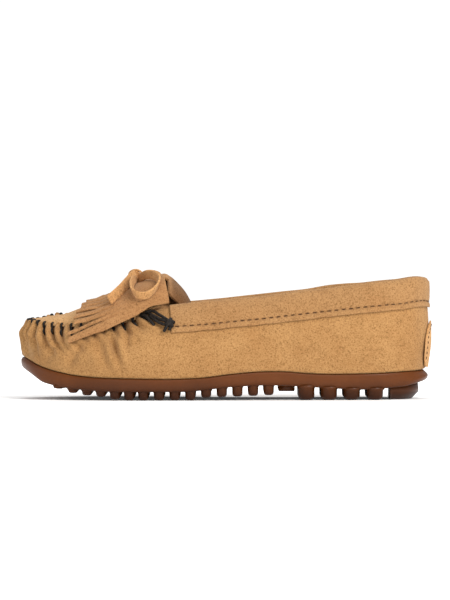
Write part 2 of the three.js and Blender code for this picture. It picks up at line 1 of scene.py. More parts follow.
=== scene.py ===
"""The looks of a suede kilty moccasin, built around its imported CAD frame.

Lengths in this script are millimetres in the CAD frame, and meshes are scaled to metres when they are made.
The toe points to -X, the heel to +X, the lateral side is -Y and +Z is up. Materials work in metres.
"""
import math
import random

import bmesh
import bpy
import numpy as np
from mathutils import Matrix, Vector, noise


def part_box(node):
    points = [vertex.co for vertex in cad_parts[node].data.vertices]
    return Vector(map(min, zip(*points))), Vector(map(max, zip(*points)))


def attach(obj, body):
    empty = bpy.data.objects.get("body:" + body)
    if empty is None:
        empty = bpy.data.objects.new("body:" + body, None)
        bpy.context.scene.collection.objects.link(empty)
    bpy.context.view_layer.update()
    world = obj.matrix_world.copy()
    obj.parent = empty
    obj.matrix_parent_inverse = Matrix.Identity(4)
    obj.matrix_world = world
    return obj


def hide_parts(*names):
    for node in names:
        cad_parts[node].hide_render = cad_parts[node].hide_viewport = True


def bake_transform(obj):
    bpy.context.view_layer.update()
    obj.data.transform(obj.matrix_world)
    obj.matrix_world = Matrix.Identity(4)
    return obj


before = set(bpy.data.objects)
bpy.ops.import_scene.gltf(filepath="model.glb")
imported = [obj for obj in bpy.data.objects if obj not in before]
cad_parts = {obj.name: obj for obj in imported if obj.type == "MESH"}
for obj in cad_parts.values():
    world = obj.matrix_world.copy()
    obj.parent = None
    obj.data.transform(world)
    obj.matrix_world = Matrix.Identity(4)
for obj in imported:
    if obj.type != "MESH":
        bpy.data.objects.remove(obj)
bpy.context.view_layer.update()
MM = 0.001

# ---- driving dimensions

SUEDE = 1.5  # thickness of the upper
RIM_WALL = 2.6  # thickness of the sole's side wall
WEB = 4.0  # thickness of the sole under the foot
TURN_OUT = 1.25  # how far above the rim the upper starts
STITCH_PITCH = 6.3  # whip stitches along the seam
COLLAR_FRONT = -32
COLLAR_LIFT = 1.4
COLLAR_INNER = 3.5  # how far inside the upper's outer face the band's inner side lies
COLLAR_ROLL = 2.6  # rise of the band over the top edge
COLLAR_PITCH = 4.4
COLLAR_SEAM = 12.2  # distance of the running stitch below the top edge
CORD_RADIUS = 1.0
KNOT_X = -32.9  # where the cord's knots lie
LACE_THICK = 1.3
LOOP_WIDTH = 5.5
TAIL_WIDTH = 6.2
BOW_X = -54.3
BOW_Z = 75.3
MEDIAL_SPREAD = 1.1  # the bow's medial half is this much wider
BED_INSET = 5.2
LAYER_GAP = 0.55
BOARD_THICK = 1.5
FOAM_THICK = 4.0
SOCK_THICK = 1.0
THREAD_RADIUS = 0.25
PATCH_SPAN = 0.0225  # half the heel patch's width, as a share of the sole's outline
PATCH_LIFT = 1.65
STUD_RADIUS = 3.15
STUD_PITCH = 10.4
HEEL_STUD_RADIUS = 4.9
HEEL_STUD_PITCH = 13.4
STUD_INSET = 5.2  # from the sole's outline to the centre of the outer studs
HEEL_BLOCK_FRONT = 100.2
FRINGE_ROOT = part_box("kilty_fringe")[1][0] / MM

SOLE_OUTLINE = [
    (-124.1, 6), (-119, -13), (-105, -29), (-82, -40), (-52, -44.5), (-15, -42),
    (25, -36.5), (65, -33.5), (95, -30), (114.5, -19), (121.7, 0),
    (114.5, 19), (95, 30), (65, 31), (25, 27.5), (-15, 33.5),
    (-46, 42), (-68, 44.5), (-92, 41), (-113, 27),
]


# ---- curves and surfaces

def unit(vectors):
    return vectors / np.maximum(np.linalg.norm(vectors, axis=-1), 1e-9)[..., None]


def cubic(t, low, high, start, end):
    """A cubic from low to high as t goes from 0 to 1, leaving along start and arriving along end."""
    step = 3 * t**2 - 2 * t**3
    return low + (high - low) * step + start * (t**3 - 2 * t**2 + t) + end * (t**3 - t**2)


def hermite(knots, values, v):
    """A smooth curve through values at knots, without overshoot. values may be rows of knots."""
    xs = np.asarray(knots, float)
    ys = np.asarray(values, float)
    slope = np.diff(ys, axis=-1) / np.diff(xs)
    before = np.concatenate([slope[..., :1], slope], axis=-1)
    after = np.concatenate([slope, slope[..., -1:]], axis=-1)
    product = before * after
    total = np.where(np.abs(before + after) < 1e-9, 1, before + after)
    tangent = np.where(product > 0, 2 * product / total, 0)
    v = np.clip(np.asarray(v, float), xs[0], xs[-1])
    i = np.clip(np.searchsorted(xs, v, side="right") - 1, 0, len(xs) - 2)
    h = xs[i + 1] - xs[i]
    t = (v - xs[i]) / h
    if ys.ndim == 1:
        low, high, start, end = ys[i], ys[i + 1], tangent[i], tangent[i + 1]
    else:
        pick = lambda table, at: np.take_along_axis(table, at[..., None], axis=-1)[..., 0]
        low, high, start, end = pick(ys, i), pick(ys, i + 1), pick(tangent, i), pick(tangent, i + 1)
    return cubic(t, low, high, h * start, h * end)


def profile(points):
    """A smooth function of x through (x, value) points."""
    knots, values = zip(*points)
    return lambda v: hermite(knots, values, v)


# Heights of the sole, the upper and the plug, and offsets of the upper from the sole's outline, all by x.
rim_top = profile([(-126, 26.2), (-122.5, 25.1), (-119, 23.4), (-113, 20.5), (-103, 17.3), (-89, 14.6),
                   (-74, 13.4), (-54, 12.9), (-35, 12.6), (-16, 13.2), (4, 15.5), (23, 17), (33, 17.1),
                   (52, 15.8), (66, 15.4), (92, 15.9), (111, 16.9), (119, 17.4), (126, 19.5)])
sole_bottom = profile([(-126, 20.5), (-118, 15.6), (-109, 10), (-89, 6.4), (-64, 5), (-28, 5),
                       (9, 8.2), (27, 8.8), (64, 7), (82, 6.1), (106, 7.6), (118, 10.7), (126, 14.5)])
peg_bottom = profile([(-108, 9), (-100, 6.7), (-91, 4.2), (-83, 2.9), (-74, 2.1), (-60, 0),
                      (-20, 0), (-10, 1.6), (8, 2.2), (27, 3)])
top_edge = profile([(-126, 46.5), (-119, 45.5), (-114, 44.6), (-104, 43.8), (-95, 43.6), (-85, 44.3),
                    (-75, 45.2), (-62, 46), (-54, 48.4), (-46, 52.3), (-38, 55.2), (-33, 56), (-16, 57.3),
                    (0, 58.8), (21, 60.9), (45, 63.7), (64, 65.9), (80, 67.6), (94, 69.1), (106, 70.2),
                    (118, 71.9), (126, 70)])
medial_rise = profile([(-126, 0), (-119, 1.2), (-113, 3.6), (-108, 5.2), (-103, 5.6), (-96, 3.2),
                       (-90, 1.3), (-82, 0.2), (-70, 0), (45, 0), (64, 0.9), (74, 0.6), (86, 0), (126, 0)])
plug_crest = profile([(-120, 49.5), (-114, 51), (-104, 52.4), (-97, 53.2), (-90, 55), (-80, 57.4),
                      (-60, 61.5), (-38, 65.5)])
TOE_INSET = [(-126, 3.5), (-118, 5), (-105, 8), (-85, 11.5)]
HEEL_INSET = [(118, -0.5), (126, -2.0)]
inset_lateral = profile([*TOE_INSET, (-60, 13.5), (-33, 14), (0, 12), (25, 10), (60, 7), (100, 2.5),
                         *HEEL_INSET])
inset_medial = profile([*TOE_INSET, (-60, 13), (-33, 9), (0, 5), (25, 2), (60, 4), (100, 2), *HEEL_INSET])
foot_bulge = profile([(-126, -0.5), (-105, 0.2), (95, 0.2), (126, 0.8)])
low_bulge = profile([(-126, -0.3), (-105, 0.7), (-60, 0.8), (0, 0), (60, 0.4), (110, 1.3), (126, 2.6)])
toe_brow = profile([(-126, 1.0), (-108, 0), (126, 0)])
mid_bulge = profile([(-126, 0.1), (-100, 0.2), (-60, -2), (0, -3), (60, -1), (105, 1), (126, 2.4)])


def distances(line):
    """The distance of each point along a line from its first."""
    return np.concatenate([[0], np.cumsum(np.linalg.norm(np.diff(line, axis=0), axis=1))])


def outline_table():
    """Points and outward normals along the sole's outline, by share of its length from the toe."""
    points = np.array(SOLE_OUTLINE, float)
    count = len(points)
    dense = []
    for k in range(count):
        p = [points[(k + j - 1) % count] for j in range(4)]
        gaps = [math.sqrt(np.linalg.norm(p[j + 1] - p[j])) for j in range(3)]
        start = (p[1] - p[0]) / gaps[0] - (p[2] - p[0]) / (gaps[0] + gaps[1]) + (p[2] - p[1]) / gaps[1]
        end = (p[2] - p[1]) / gaps[1] - (p[3] - p[1]) / (gaps[1] + gaps[2]) + (p[3] - p[2]) / gaps[2]
        t = np.linspace(0, 1, 120, endpoint=False)[:, None]
        dense.append(cubic(t, p[1], p[2], gaps[1] * start, gaps[1] * end))
    line = np.concatenate(dense)
    line = np.vstack([line, line[:1]])
    run = distances(line)
    along = np.gradient(line[:-1], axis=0)
    along[0] = line[1] - line[-2]
    along[-1] = line[0] - line[-3]
    along = np.vstack([along, along[:1]])
    along = unit(along)
    return run / run[-1], line, np.stack([along[:, 1], -along[:, 0]], axis=1), run[-1]


OUTLINE_SHARE, OUTLINE_POINTS, OUTLINE_OUT, OUTLINE_LENGTH = outline_table()
HEEL_SHARE = OUTLINE_SHARE[np.argmax(OUTLINE_POINTS[:, 0])]


def station(s):
    """Places on the outline: s is 0 at the toe tip, 0.25 lateral, 0.5 at the heel."""
    turn = np.mod(np.asarray(s, float), 1)
    share = np.where(turn < 0.5, turn * 2 * HEEL_SHARE, HEEL_SHARE + (turn - 0.5) * 2 * (1 - HEEL_SHARE))
    read = lambda table: np.stack([np.interp(share, OUTLINE_SHARE, table[:, i]) for i in (0, 1)], axis=-1)
    return read(OUTLINE_POINTS), read(OUTLINE_OUT), turn < 0.5


def station_at(x, lateral):
    """The place on one side whose x is the one given."""
    low, high = (0.0, 0.5) if lateral else (1.0, 0.5)
    for _ in range(40):
        middle = (low + high) / 2
        if station(middle)[0][0] < x:
            low = middle
        else:
            high = middle
    return (low + high) / 2


def off_outline(s, offset, z):
    """Points at an offset out from the sole's outline, at height z."""
    place, out, _ = station(s)
    xy = place + out * np.asarray(offset)[..., None]
    return np.concatenate([xy, np.broadcast_to(np.asarray(z, float), xy.shape[:-1])[..., None]], axis=-1)


def top_height(s):
    """Height of the upper's top edge, which is higher over the big toe."""
    place, _, lateral = station(s)
    return top_edge(place[..., 0]) + np.where(lateral, 0, medial_rise(place[..., 0]))


def seam_inset(s):
    """How far in from the sole's outline the upper's top edge lies."""
    place, _, lateral = station(s)
    return np.where(lateral, inset_lateral(place[..., 0]), inset_medial(place[..., 0]))


def wall(s, v):
    """The upper's smooth outer surface: v is 0 just above the rim and 1 at the top edge."""
    s, v = np.broadcast_arrays(np.asarray(s, float), np.asarray(v, float))
    x = station(s)[0][..., 0]
    inset = seam_inset(s)
    base = rim_top(x) + TURN_OUT
    bulge = mid_bulge(x)
    shoulder = 0.3 * bulge - 0.5 * inset - toe_brow(x)
    offsets = np.stack([foot_bulge(x), low_bulge(x), bulge, shoulder, -inset], axis=-1)
    offset = hermite([0, 0.3, 0.65, 0.88, 1], offsets, v)
    return off_outline(s, offset, base + v * (top_height(s) - base))


def wall_normal(s, v):
    """The outward normal of the upper's smooth surface."""
    s, v = np.broadcast_arrays(np.asarray(s, float), np.asarray(v, float))
    along = wall(s + 0.0015, v) - wall(s - 0.0015, v)
    up = wall(s, np.clip(v + 0.02, 0, 1)) - wall(s, np.clip(v - 0.02, 0, 1))
    return unit(np.cross(along, up))


def wall_level(s, z):
    """The level v of the upper's surface at a height."""
    x = station(s)[0][..., 0]
    base = rim_top(x) + TURN_OUT
    return np.clip((z - base) / (top_height(s) - base), 0, 1)


def smooth_noise(points, scale, seed):
    """Blender's gradient noise at points, about -1 to 1, for soft unevenness."""
    shape = points.shape[:-1]
    flat = points.reshape(-1, 3) / scale + seed * 17.3
    return np.array([noise.noise(Vector(p)) for p in flat]).reshape(shape)


# ---- mesh making

def new_object(name, points, faces, material, body, stands_for):
    """A visible piece from points in millimetres, riding on a CAD body and standing for CAD nodes."""
    mesh = bpy.data.meshes.new(name)
    mesh.from_pydata((np.asarray(points, float).reshape(-1, 3) * MM).tolist(), [], faces)
    mesh.validate()
    mesh.shade_smooth()
    piece = bpy.data.objects.new(name, mesh)
    bpy.context.scene.collection.objects.link(piece)
    mesh.materials.append(material)
    if body:
        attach(piece, body)
    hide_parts(*stands_for)
    return piece


def apply_modifiers(piece):
    """Bakes a piece's modifiers into its mesh."""
    depsgraph = bpy.context.evaluated_depsgraph_get()
    baked = bpy.data.meshes.new_from_object(piece.evaluated_get(depsgraph))
    name = piece.data.name
    piece.modifiers.clear()
    piece.data = baked
    baked.name = name
    baked.shade_smooth()


def grid_faces(rows, columns, wrap, keep=None):
    """Quads over a grid of points, row by row. wrap joins its last column to its first."""
    cells = columns if wrap else columns - 1
    faces = []
    for r in range(rows - 1):
        for c in range(cells):
            if keep is None or keep(r, c):
                d = (c + 1) % columns
                low, high = r * columns, (r + 1) * columns
                faces.append((low + c, low + d, high + d, high + c))
    return faces


def closed_faces(rings, sides):
    """The faces of a closed tube made of rings of points: its side, then its two ends."""
    first = tuple(range(sides - 1, -1, -1))
    last = tuple(range((rings - 1) * sides, rings * sides))
    return grid_faces(rings, sides, True) + [first, last]


def thicken(piece, thickness, edge=0.3, even=True):
    """Gives a single-faced sheet its thickness, inwards, and softens its cut edges.

    Both overshoot where pleats fold back sharply, so the gathered upper, whose edges are hidden, takes a
    plain thickness and no softening.
    """
    clean = bmesh.new()
    clean.from_mesh(piece.data)
    bmesh.ops.delete(clean, geom=[v for v in clean.verts if not v.link_faces], context="VERTS")
    clean.to_mesh(piece.data)
    clean.free()
    solid = piece.modifiers.new("thickness", "SOLIDIFY")
    solid.thickness = thickness * MM
    solid.offset = -1
    solid.use_even_offset = even
    solid.thickness_clamp = 0.6
    apply_modifiers(piece)
    if edge:
        soften = piece.modifiers.new("edge", "BEVEL")
        soften.width = edge * MM
        soften.segments = 2
        soften.limit_method = "ANGLE"
        soften.angle_limit = math.radians(50)
        apply_modifiers(piece)


def sheet_piece(name, grid, thickness, material, node, body="shoe", wrap=False, edge=0.3,
                even=True):
    """A leather sheet that stands for one CAD node: the grid is its outer face."""
    faces = grid_faces(*grid.shape[:2], wrap)
    thicken(new_object(name, grid, faces, material, body, [node]), thickness, edge, even)


def tube_points(path, radii, sides, squash=1.0):
    """Points and faces of a closed tube along a path, tapered to its radii."""
    tangents = unit(np.gradient(path, axis=0))
    normal = np.cross(tangents[0], [0.3, 0.2, 1.0])
    normals = []
    for tangent in tangents:
        normal = unit(normal - tangent * np.dot(normal, tangent))
        normals.append(normal)
    normals = np.array(normals)
    angles = np.linspace(0, 2 * math.pi, sides, endpoint=False)[:, None]
    ring = normals[:, None] * np.cos(angles) * squash + np.cross(tangents, normals)[:, None] * np.sin(angles)
    points = path[:, None] + ring * np.asarray(radii)[:, None, None]
    return points.reshape(-1, 3), closed_faces(len(path), sides)


def joined(parts):
    """Several point and face lists as one."""
    points = []
    faces = []
    start = 0
    for some_points, some_faces in parts:
        points.append(some_points)
        faces.extend(tuple(i + start for i in face) for face in some_faces)
        start += len(some_points)
    return np.concatenate(points), faces


def curve_through(points, count):
    """An even smooth curve through a few points."""
    points = np.asarray(points, float)
    run = distances(points[:, :3])
    along = np.linspace(0, run[-1], count)
    tangents = np.gradient(points, run, axis=0)
    i = np.clip(np.searchsorted(run, along, side="right") - 1, 0, len(run) - 2)
    h = (run[i + 1] - run[i])[:, None]
    t = ((along - run[i]) / h[:, 0])[:, None]
    return cubic(t, points[i], points[i + 1], h * tangents[i], h * tangents[i + 1])


# ---- materials

def node_material(name, roughness, specular):
    """A new material: itself, its node tree, its shader and its object coordinates."""
    material = bpy.data.materials.new(name)
    material.use_nodes = True
    tree = material.node_tree
    shader = tree.nodes["Principled BSDF"]
    shader.inputs["Roughness"].default_value = roughness
    shader.inputs["Specular IOR Level"].default_value = specular
    place = tree.nodes.new("ShaderNodeTexCoord").outputs["Object"]
    return material, tree, shader, place


def add(tree, kind, **values):
    """A new node with values for its inputs or settings."""
    node = tree.nodes.new(kind)
    for key, value in values.items():
        if key in node.inputs:
            node.inputs[key].default_value = value
        else:
            setattr(node, key, value)
    return node


def noise_node(tree, source, scale, detail, rough, stretch=None):
    texture = add(tree, "ShaderNodeTexNoise", Scale=scale, Detail=detail, Roughness=rough)
    if stretch:
        mapping = add(tree, "ShaderNodeMapping", Scale=stretch)
        tree.links.new(source, mapping.inputs["Vector"])
        source = mapping.outputs["Vector"]
    tree.links.new(source, texture.inputs["Vector"])
    return texture.outputs["Fac"]


def ramp(tree, source, stops):
    """A colour by value: stops are (value, colour), rising."""
    node = tree.nodes.new("ShaderNodeValToRGB")
    elements = node.color_ramp.elements
    while len(elements) < len(stops):
        elements.new(0.5)
    for element, (place, colour) in zip(elements, stops):
        element.position = place
        element.color = (*colour, 1)
    tree.links.new(source, node.inputs["Fac"])
    return node.outputs["Color"]


def multiply(tree, share, first, second):
    """One colour darkened by another. Sockets 0, 6 and 7 of a colour mix are its share and its colours."""
    node = add(tree, "ShaderNodeMix", data_type="RGBA", blend_type="MULTIPLY")
    node.inputs[0].default_value = share
    tree.links.new(first, node.inputs[6])
    tree.links.new(second, node.inputs[7])
    return node.outputs[2]


def map_range(tree, source, **values):
    node = add(tree, "ShaderNodeMapRange", **{key.replace("_", " "): value for key, value in values.items()})
    tree.links.new(source, node.inputs["Value"])
    return node.outputs["Result"]


def axis(tree, place, name):
    axes = add(tree, "ShaderNodeSeparateXYZ")
    tree.links.new(place, axes.inputs["Vector"])
    return axes.outputs[name]


def bump(tree, shader, heights):
    """Stacks bumps, each (height output, strength, distance in metres), coarse first."""
    normal = None
    for height, strength, distance in heights:
        node = add(tree, "ShaderNodeBump", Strength=strength, Distance=distance)
        tree.links.new(height, node.inputs["Height"])
        if normal:
            tree.links.new(normal, node.inputs["Normal"])
        normal = node.outputs["Normal"]
    tree.links.new(normal, shader.inputs["Normal"])


def painted_shade_behind(tree, place, x):
    """Painted shade: a tint that falls to dark brown behind x, standing in for the shade in and under the
    kilty's fold.
    """
    share = map_range(tree, axis(tree, place, "X"), From_Min=x, From_Max=x + 0.004)
    return ramp(tree, share, [(0.0, (1, 1, 1)), (1.0, (0.42, 0.36, 0.30))])


def suede(name, tint, depth=0.08, painted_shade_from=None):
    """Napped suede: mottled where the nap lies different ways, with a fine speckled pile and a sheen."""
    material, tree, shader, place = node_material(name, 0.95, 0.12)
    base = np.array(tint)
    shade = lambda k, red=1.0: tuple(np.clip(base * k * np.array([1, red, red * red]), 0, 1))
    cloud = noise_node(tree, place, 48, 4, 0.6)
    brushed = noise_node(tree, place, 210, 3, 0.6, stretch=(0.6, 1, 1.2))
    grain = noise_node(tree, place, 1050, 4, 0.75)
    fleck = noise_node(tree, place, 2300, 2, 0.8)
    colour = ramp(tree, cloud, [(0.3, shade(1 - depth, 0.96)), (0.52, shade(1.0)),
                                (0.72, shade(1 + depth, 1.02))])
    strokes = ramp(tree, brushed, [(0.3, (0.86, 0.84, 0.82)), (0.5, (1, 1, 1))])
    grains = ramp(tree, grain, [(0.34, (0.34, 0.29, 0.23)), (0.48, (0.85, 0.83, 0.80)), (0.6, (1, 1, 1))])
    flecks = ramp(tree, fleck, [(0.32, (0.70, 0.66, 0.60)), (0.56, (1, 1, 1))])
    for share, layer in ((0.8, strokes), (0.85, grains), (0.7, flecks)):
        colour = multiply(tree, share, colour, layer)
    # painted shade: behind x the colour darkens to stand in for shade
    if painted_shade_from is not None:
        colour = multiply(tree, 1.0, colour, painted_shade_behind(tree, place, painted_shade_from))
    tree.links.new(colour, shader.inputs["Base Color"])
    shader.inputs["Sheen Weight"].default_value = 0.16
    shader.inputs["Sheen Roughness"].default_value = 0.5
    shader.inputs["Sheen Tint"].default_value = (1.0, 0.82, 0.60, 1)
    bump(tree, shader, [(cloud, 0.2, 0.0015), (brushed, 0.3, 0.0006), (grain, 0.6, 0.0004),
                        (fleck, 0.6, 0.00022)])
    return material


def rubber(name):
    """Satin moulded rubber, with painted shade that darkens the studs and the wall's lower part."""
    material, tree, shader, place = node_material(name, 0.42, 0.2)
    cloud = noise_node(tree, place, 40, 3, 0.5)
    grain = noise_node(tree, place, 900, 3, 0.6)
    colour = ramp(tree, cloud, [(0.3, (0.098, 0.026, 0.0035)), (0.7, (0.128, 0.035, 0.0055))])
    dust = ramp(tree, grain, [(0.35, (0.88, 0.86, 0.84)), (0.65, (1, 1, 1))])
    # painted shade: from 12.5 mm down to 2 mm above the floor the colour darkens to about a third
    height = map_range(tree, axis(tree, place, "Z"), From_Min=0.002, From_Max=0.0125)
    painted_low_shade = ramp(tree, height, [(0.0, (0.34, 0.31, 0.31)), (1.0, (1, 1, 1))])
    colour = multiply(tree, 1.0, colour, painted_low_shade)
    tree.links.new(multiply(tree, 0.6, colour, dust), shader.inputs["Base Color"])
    wear = map_range(tree, cloud, To_Min=0.30, To_Max=0.46)
    tree.links.new(wear, shader.inputs["Roughness"])
    bump(tree, shader, [(cloud, 0.12, 0.0008), (grain, 0.16, 0.0001)])
    return material


def fibrous(name, roughness, specular, dark, light, scale, strength, stretch=None):
    """A material with a fine two-tone fibre: cord, thread, board, foam or lining."""
    material, tree, shader, place = node_material(name, roughness, specular)
    detail = 3 if stretch else 4
    fibre = noise_node(tree, place, scale, detail, 0.6, stretch)
    tree.links.new(ramp(tree, fibre, [dark, light]), shader.inputs["Base Color"])
    bump(tree, shader, [(fibre, strength, 0.0002)])
    return material


def plain_weave(name, dark, light, scale):
    return fibrous(name, 0.85, 0.25, (0.35, dark), (0.65, light), scale, 0.4)


UPPER_SUEDE = suede("upper_suede", (0.450, 0.242, 0.093))
# painted light: the plug's suede has a lighter tint than the upper's, for the light on its upward face
PLUG_SUEDE = suede("plug_suede", (0.60, 0.345, 0.150))
COLLAR_SUEDE = suede("collar_suede", (0.415, 0.224, 0.092), 0.06)
# the kilty and the tongue share this suede; behind x = -34.5 mm it takes painted shade, in and under the
# fold
FLAP_SUEDE = suede("flap_suede", (0.42, 0.216, 0.090), 0.09, painted_shade_from=-0.0345)
LACE_SUEDE = suede("lace_suede", (0.60, 0.322, 0.130), 0.07)
# painted light: the heel patch's suede has a lighter tint than the upper's, for the key light falling on the
# heel
PATCH_SUEDE = suede("patch_suede", (0.64, 0.35, 0.144), 0.07)
RUBBER = rubber("sole_rubber")
CORD = fibrous("waxed_cord", 0.6, 0.2, (0.35, (0.004, 0.003, 0.0025)), (0.7, (0.024, 0.018, 0.014)),
               900, 0.6, stretch=(1, 1, 0.25))
THREAD = plain_weave("brown_thread", (0.035, 0.014, 0.007), (0.10, 0.042, 0.018), 2500)
BOARD = plain_weave("fibre_board", (0.40, 0.30, 0.18), (0.55, 0.43, 0.28), 300)
LINING = plain_weave("lining_leather", (0.40, 0.21, 0.09), (0.52, 0.29, 0.13), 180)
FOAM = plain_weave("foam_core", (0.72, 0.66, 0.52), (0.85, 0.79, 0.66), 900)


# ---- camera, floor and light

def make_camera():
    """Level with the shoe on its lateral side, from far enough away to keep its true outline."""
    data = bpy.data.cameras.new("camera")
    data.sensor_fit = "HORIZONTAL"
    distance = 3.2
    frame_width = 0.2745
    data.sensor_width = 36
    data.lens = data.sensor_width * distance / frame_width
    data.clip_end = 30
    camera = bpy.data.objects.new("camera", data)
    elevation = math.radians(0.8)
    target = Vector((0.0002, 0, 0.0600))
    camera.location = target + Vector((0, -math.cos(elevation), math.sin(elevation))) * distance
    camera.rotation_euler = (target - camera.location).to_track_quat("-Z", "Y").to_euler()
    bpy.context.scene.collection.objects.link(camera)
    bpy.context.scene.camera = camera


def area_light(name, place, target, size, power, colour=(1, 1, 1)):
    data = bpy.data.lights.new(name, "AREA")
    data.shape = "DISK"
    data.size = size
    data.energy = power
    data.color = colour
    light = bpy.data.objects.new(name, data)
    light.location = place
    light.rotation_euler = (Vector(target) - Vector(place)).to_track_quat("-Z", "Y").to_euler()
    bpy.context.scene.collection.objects.link(light)


def make_world():
    """White behind the shoe, and the same white, dimmer, as fill light."""
    fill, seen = 0.52, 1.05
    world = bpy.data.worlds.new("studio")
    bpy.context.scene.world = world
    world.use_nodes = True
    tree = world.node_tree
    background = tree.nodes["Background"]
    background.inputs["Color"].default_value = (1, 1, 1, 1)
    rays = add(tree, "ShaderNodeLightPath")
    strength = map_range(tree, rays.outputs["Is Camera Ray"], To_Min=fill, To_Max=seen)
    tree.links.new(strength, background.inputs["Strength"])


def pale_floor():
    """A pale matte floor that glows to white away from the shoe, in ellipses as long as the shoe."""
    material, tree, shader, place = node_material("pale_floor", 0.9, 0.1)
    shader.inputs["Base Color"].default_value = (0.9, 0.9, 0.9, 1)
    shader.inputs["Emission Color"].default_value = (1, 1, 1, 1)
    across = add(tree, "ShaderNodeVectorMath", operation="MULTIPLY")
    across.inputs[1].default_value = (1, 2, 1)
    away = add(tree, "ShaderNodeVectorMath", operation="LENGTH")
    tree.links.new(place, across.inputs[0])
    tree.links.new(across.outputs["Vector"], away.inputs[0])
    glow = map_range(tree, away.outputs["Value"], From_Min=0.10, From_Max=0.30, To_Min=0.05, To_Max=0.6)
    tree.links.new(glow, shader.inputs["Emission Strength"])
    return material


def make_stage():
    scene = bpy.context.scene
    scene.view_settings.view_transform = "Standard"
    make_world()
    area_light("key", (0.75, -1.0, 0.95), (0.02, 0, 0.03), 0.9, 19.5, (1, 0.985, 0.96))
    area_light("front", (-0.35, -1.3, 0.5), (0, 0, 0.04), 0.6, 3.0)
    area_light("top", (0.0, 0.35, 1.3), (0, 0, 0.03), 0.8, 7.0)
    mesh = bpy.data.meshes.new("floor")
    half = 8.0
    corners = [(-half, -half, 0), (half, -half, 0), (half, half, 0), (-half, half, 0)]
    mesh.from_pydata(corners, [], [(0, 1, 2, 3)])
    mesh.materials.append(pale_floor())
    floor = bpy.data.objects.new("floor", mesh)
    scene.collection.objects.link(floor)


make_camera()
make_stage()


# ---- sole

def ring(offset, height, count):
    """Points all round the sole, at an offset from its outline. height gives z by x."""
    s = np.arange(count) / count
    points = off_outline(s, offset, 0.0)
    points[:, 2] = height(points[:, 0])
    return points


def cap_faces(first, count, up):
    """Rungs across a ring of stations, from one side of the shoe to the other."""
    faces = []
    for k in range(count // 2):
        corners = [k, k + 1, (count - k - 1) % count, (count - k) % count]
        face = [first + c for c in dict.fromkeys(corners)]
        faces.append(tuple(face if up else face[::-1]))
    return faces


def stack(rings):
    """The points and faces of a solid made of rings, capped below and above."""
    count = len(rings[0])
    faces = cap_faces(0, count, False) + grid_faces(len(rings), count, True)
    faces += cap_faces((len(rings) - 1) * count, count, True)
    return np.concatenate(rings), faces


def stud(x, y, radius, bottom):
    """A round moulded stud: tapered, with a rounded foot and a small fillet into the sole."""
    tall = float(sole_bottom(x)) + 1.0 - bottom
    sides = 20
    outline = [(0.48, 0.0), (0.74, 0.3), (0.92, 1.1), (0.99, 2.2), (1.02, tall - 1.8), (1.3, tall)]
    angles = np.linspace(0, 2 * math.pi, sides, endpoint=False)
    rings = [np.stack([x + radius * r * np.cos(angles), y + radius * r * np.sin(angles),
                       np.full(sides, bottom + min(z, tall))], axis=-1) for r, z in outline]
    return np.concatenate(rings), closed_faces(len(rings), sides)


def stud_row(x, radius, bottom, pitch):
    """Studs across the sole at x, evenly spaced and near the pitch."""
    left = station(station_at(x, True))[0][1] + STUD_INSET
    right = station(station_at(x, False))[0][1] - STUD_INSET
    count = max(2, round((right - left) / pitch) + 1)
    return [stud(x, y, radius, bottom) for y in np.linspace(left, right, count)]


def heel_block():
    """The crescent at the back of the heel, with a straight front face and a sloping back."""
    s = np.linspace(station_at(HEEL_BLOCK_FRONT, True), station_at(HEEL_BLOCK_FRONT, False), 41)
    slices = []
    for offset, z in [(-8.6, 0.0), (-7.9, 0.15), (-7.0, 0.8), (-3.6, 4.2), (-3.4, 5.4), (-3.8, 9.5)]:
        points = off_outline(s, offset, z)
        points[:, 0] = np.maximum(points[:, 0], HEEL_BLOCK_FRONT + (0.5 if z == 0 else 0))
        slices.append(points)
    return np.concatenate(slices), closed_faces(len(slices), len(s))


def waist_bar():
    """The flat bar across the waist, left blank."""
    low, tall = 5.2, 5.5
    rows = []
    for spread, z in [(-0.8, 0), (-0.25, 0.2), (0, 0.8), (0, tall)]:
        x0, x1, y0, y1 = 32.4 - spread, 42.4 + spread, -28 - spread, 20 + spread
        rows += [(x0, y0, low + z), (x1, y0, low + z), (x1, y1, low + z), (x0, y1, low + z)]
    return np.array(rows, float), closed_faces(4, 4)


def sole_levels():
    """Each ring of the sole from its underside, up its wall and down inside it to the floor.

    A level is (offset from the outline, height by x, how far it bulges at the back, how far it draws in at
    the toe).
    """
    above = lambda base, by: (lambda x: base(x) + by)
    part_way = lambda share: (lambda x: sole_bottom(x) + 2.6 + share * (rim_top(x) - sole_bottom(x) - 3.6))
    return [
        (-4.0, sole_bottom, 2.0, 0),
        (-1.3, above(sole_bottom, 0.15), 2.3, 0),
        (-0.5, above(sole_bottom, 0.7), 2.4, 0),
        (-0.1, above(sole_bottom, 1.6), 2.4, 0),
        (0, above(sole_bottom, 2.6), 2.2, 0),
        (0.05, part_way(0.35), 1.6, 0),
        (0.05, part_way(0.7), 0.8, 0.1),
        (0.12, above(rim_top, -1.0), 0.0, 0.6),
        (0.0, above(rim_top, -0.45), -0.3, 1.1),
        (-0.35, above(rim_top, -0.1), -0.5, 1.5),
        (-0.8, rim_top, -0.5, 1.4),
        (-RIM_WALL, rim_top, 0, 0),
        (-RIM_WALL, above(sole_bottom, WEB), 0, 0),
    ]


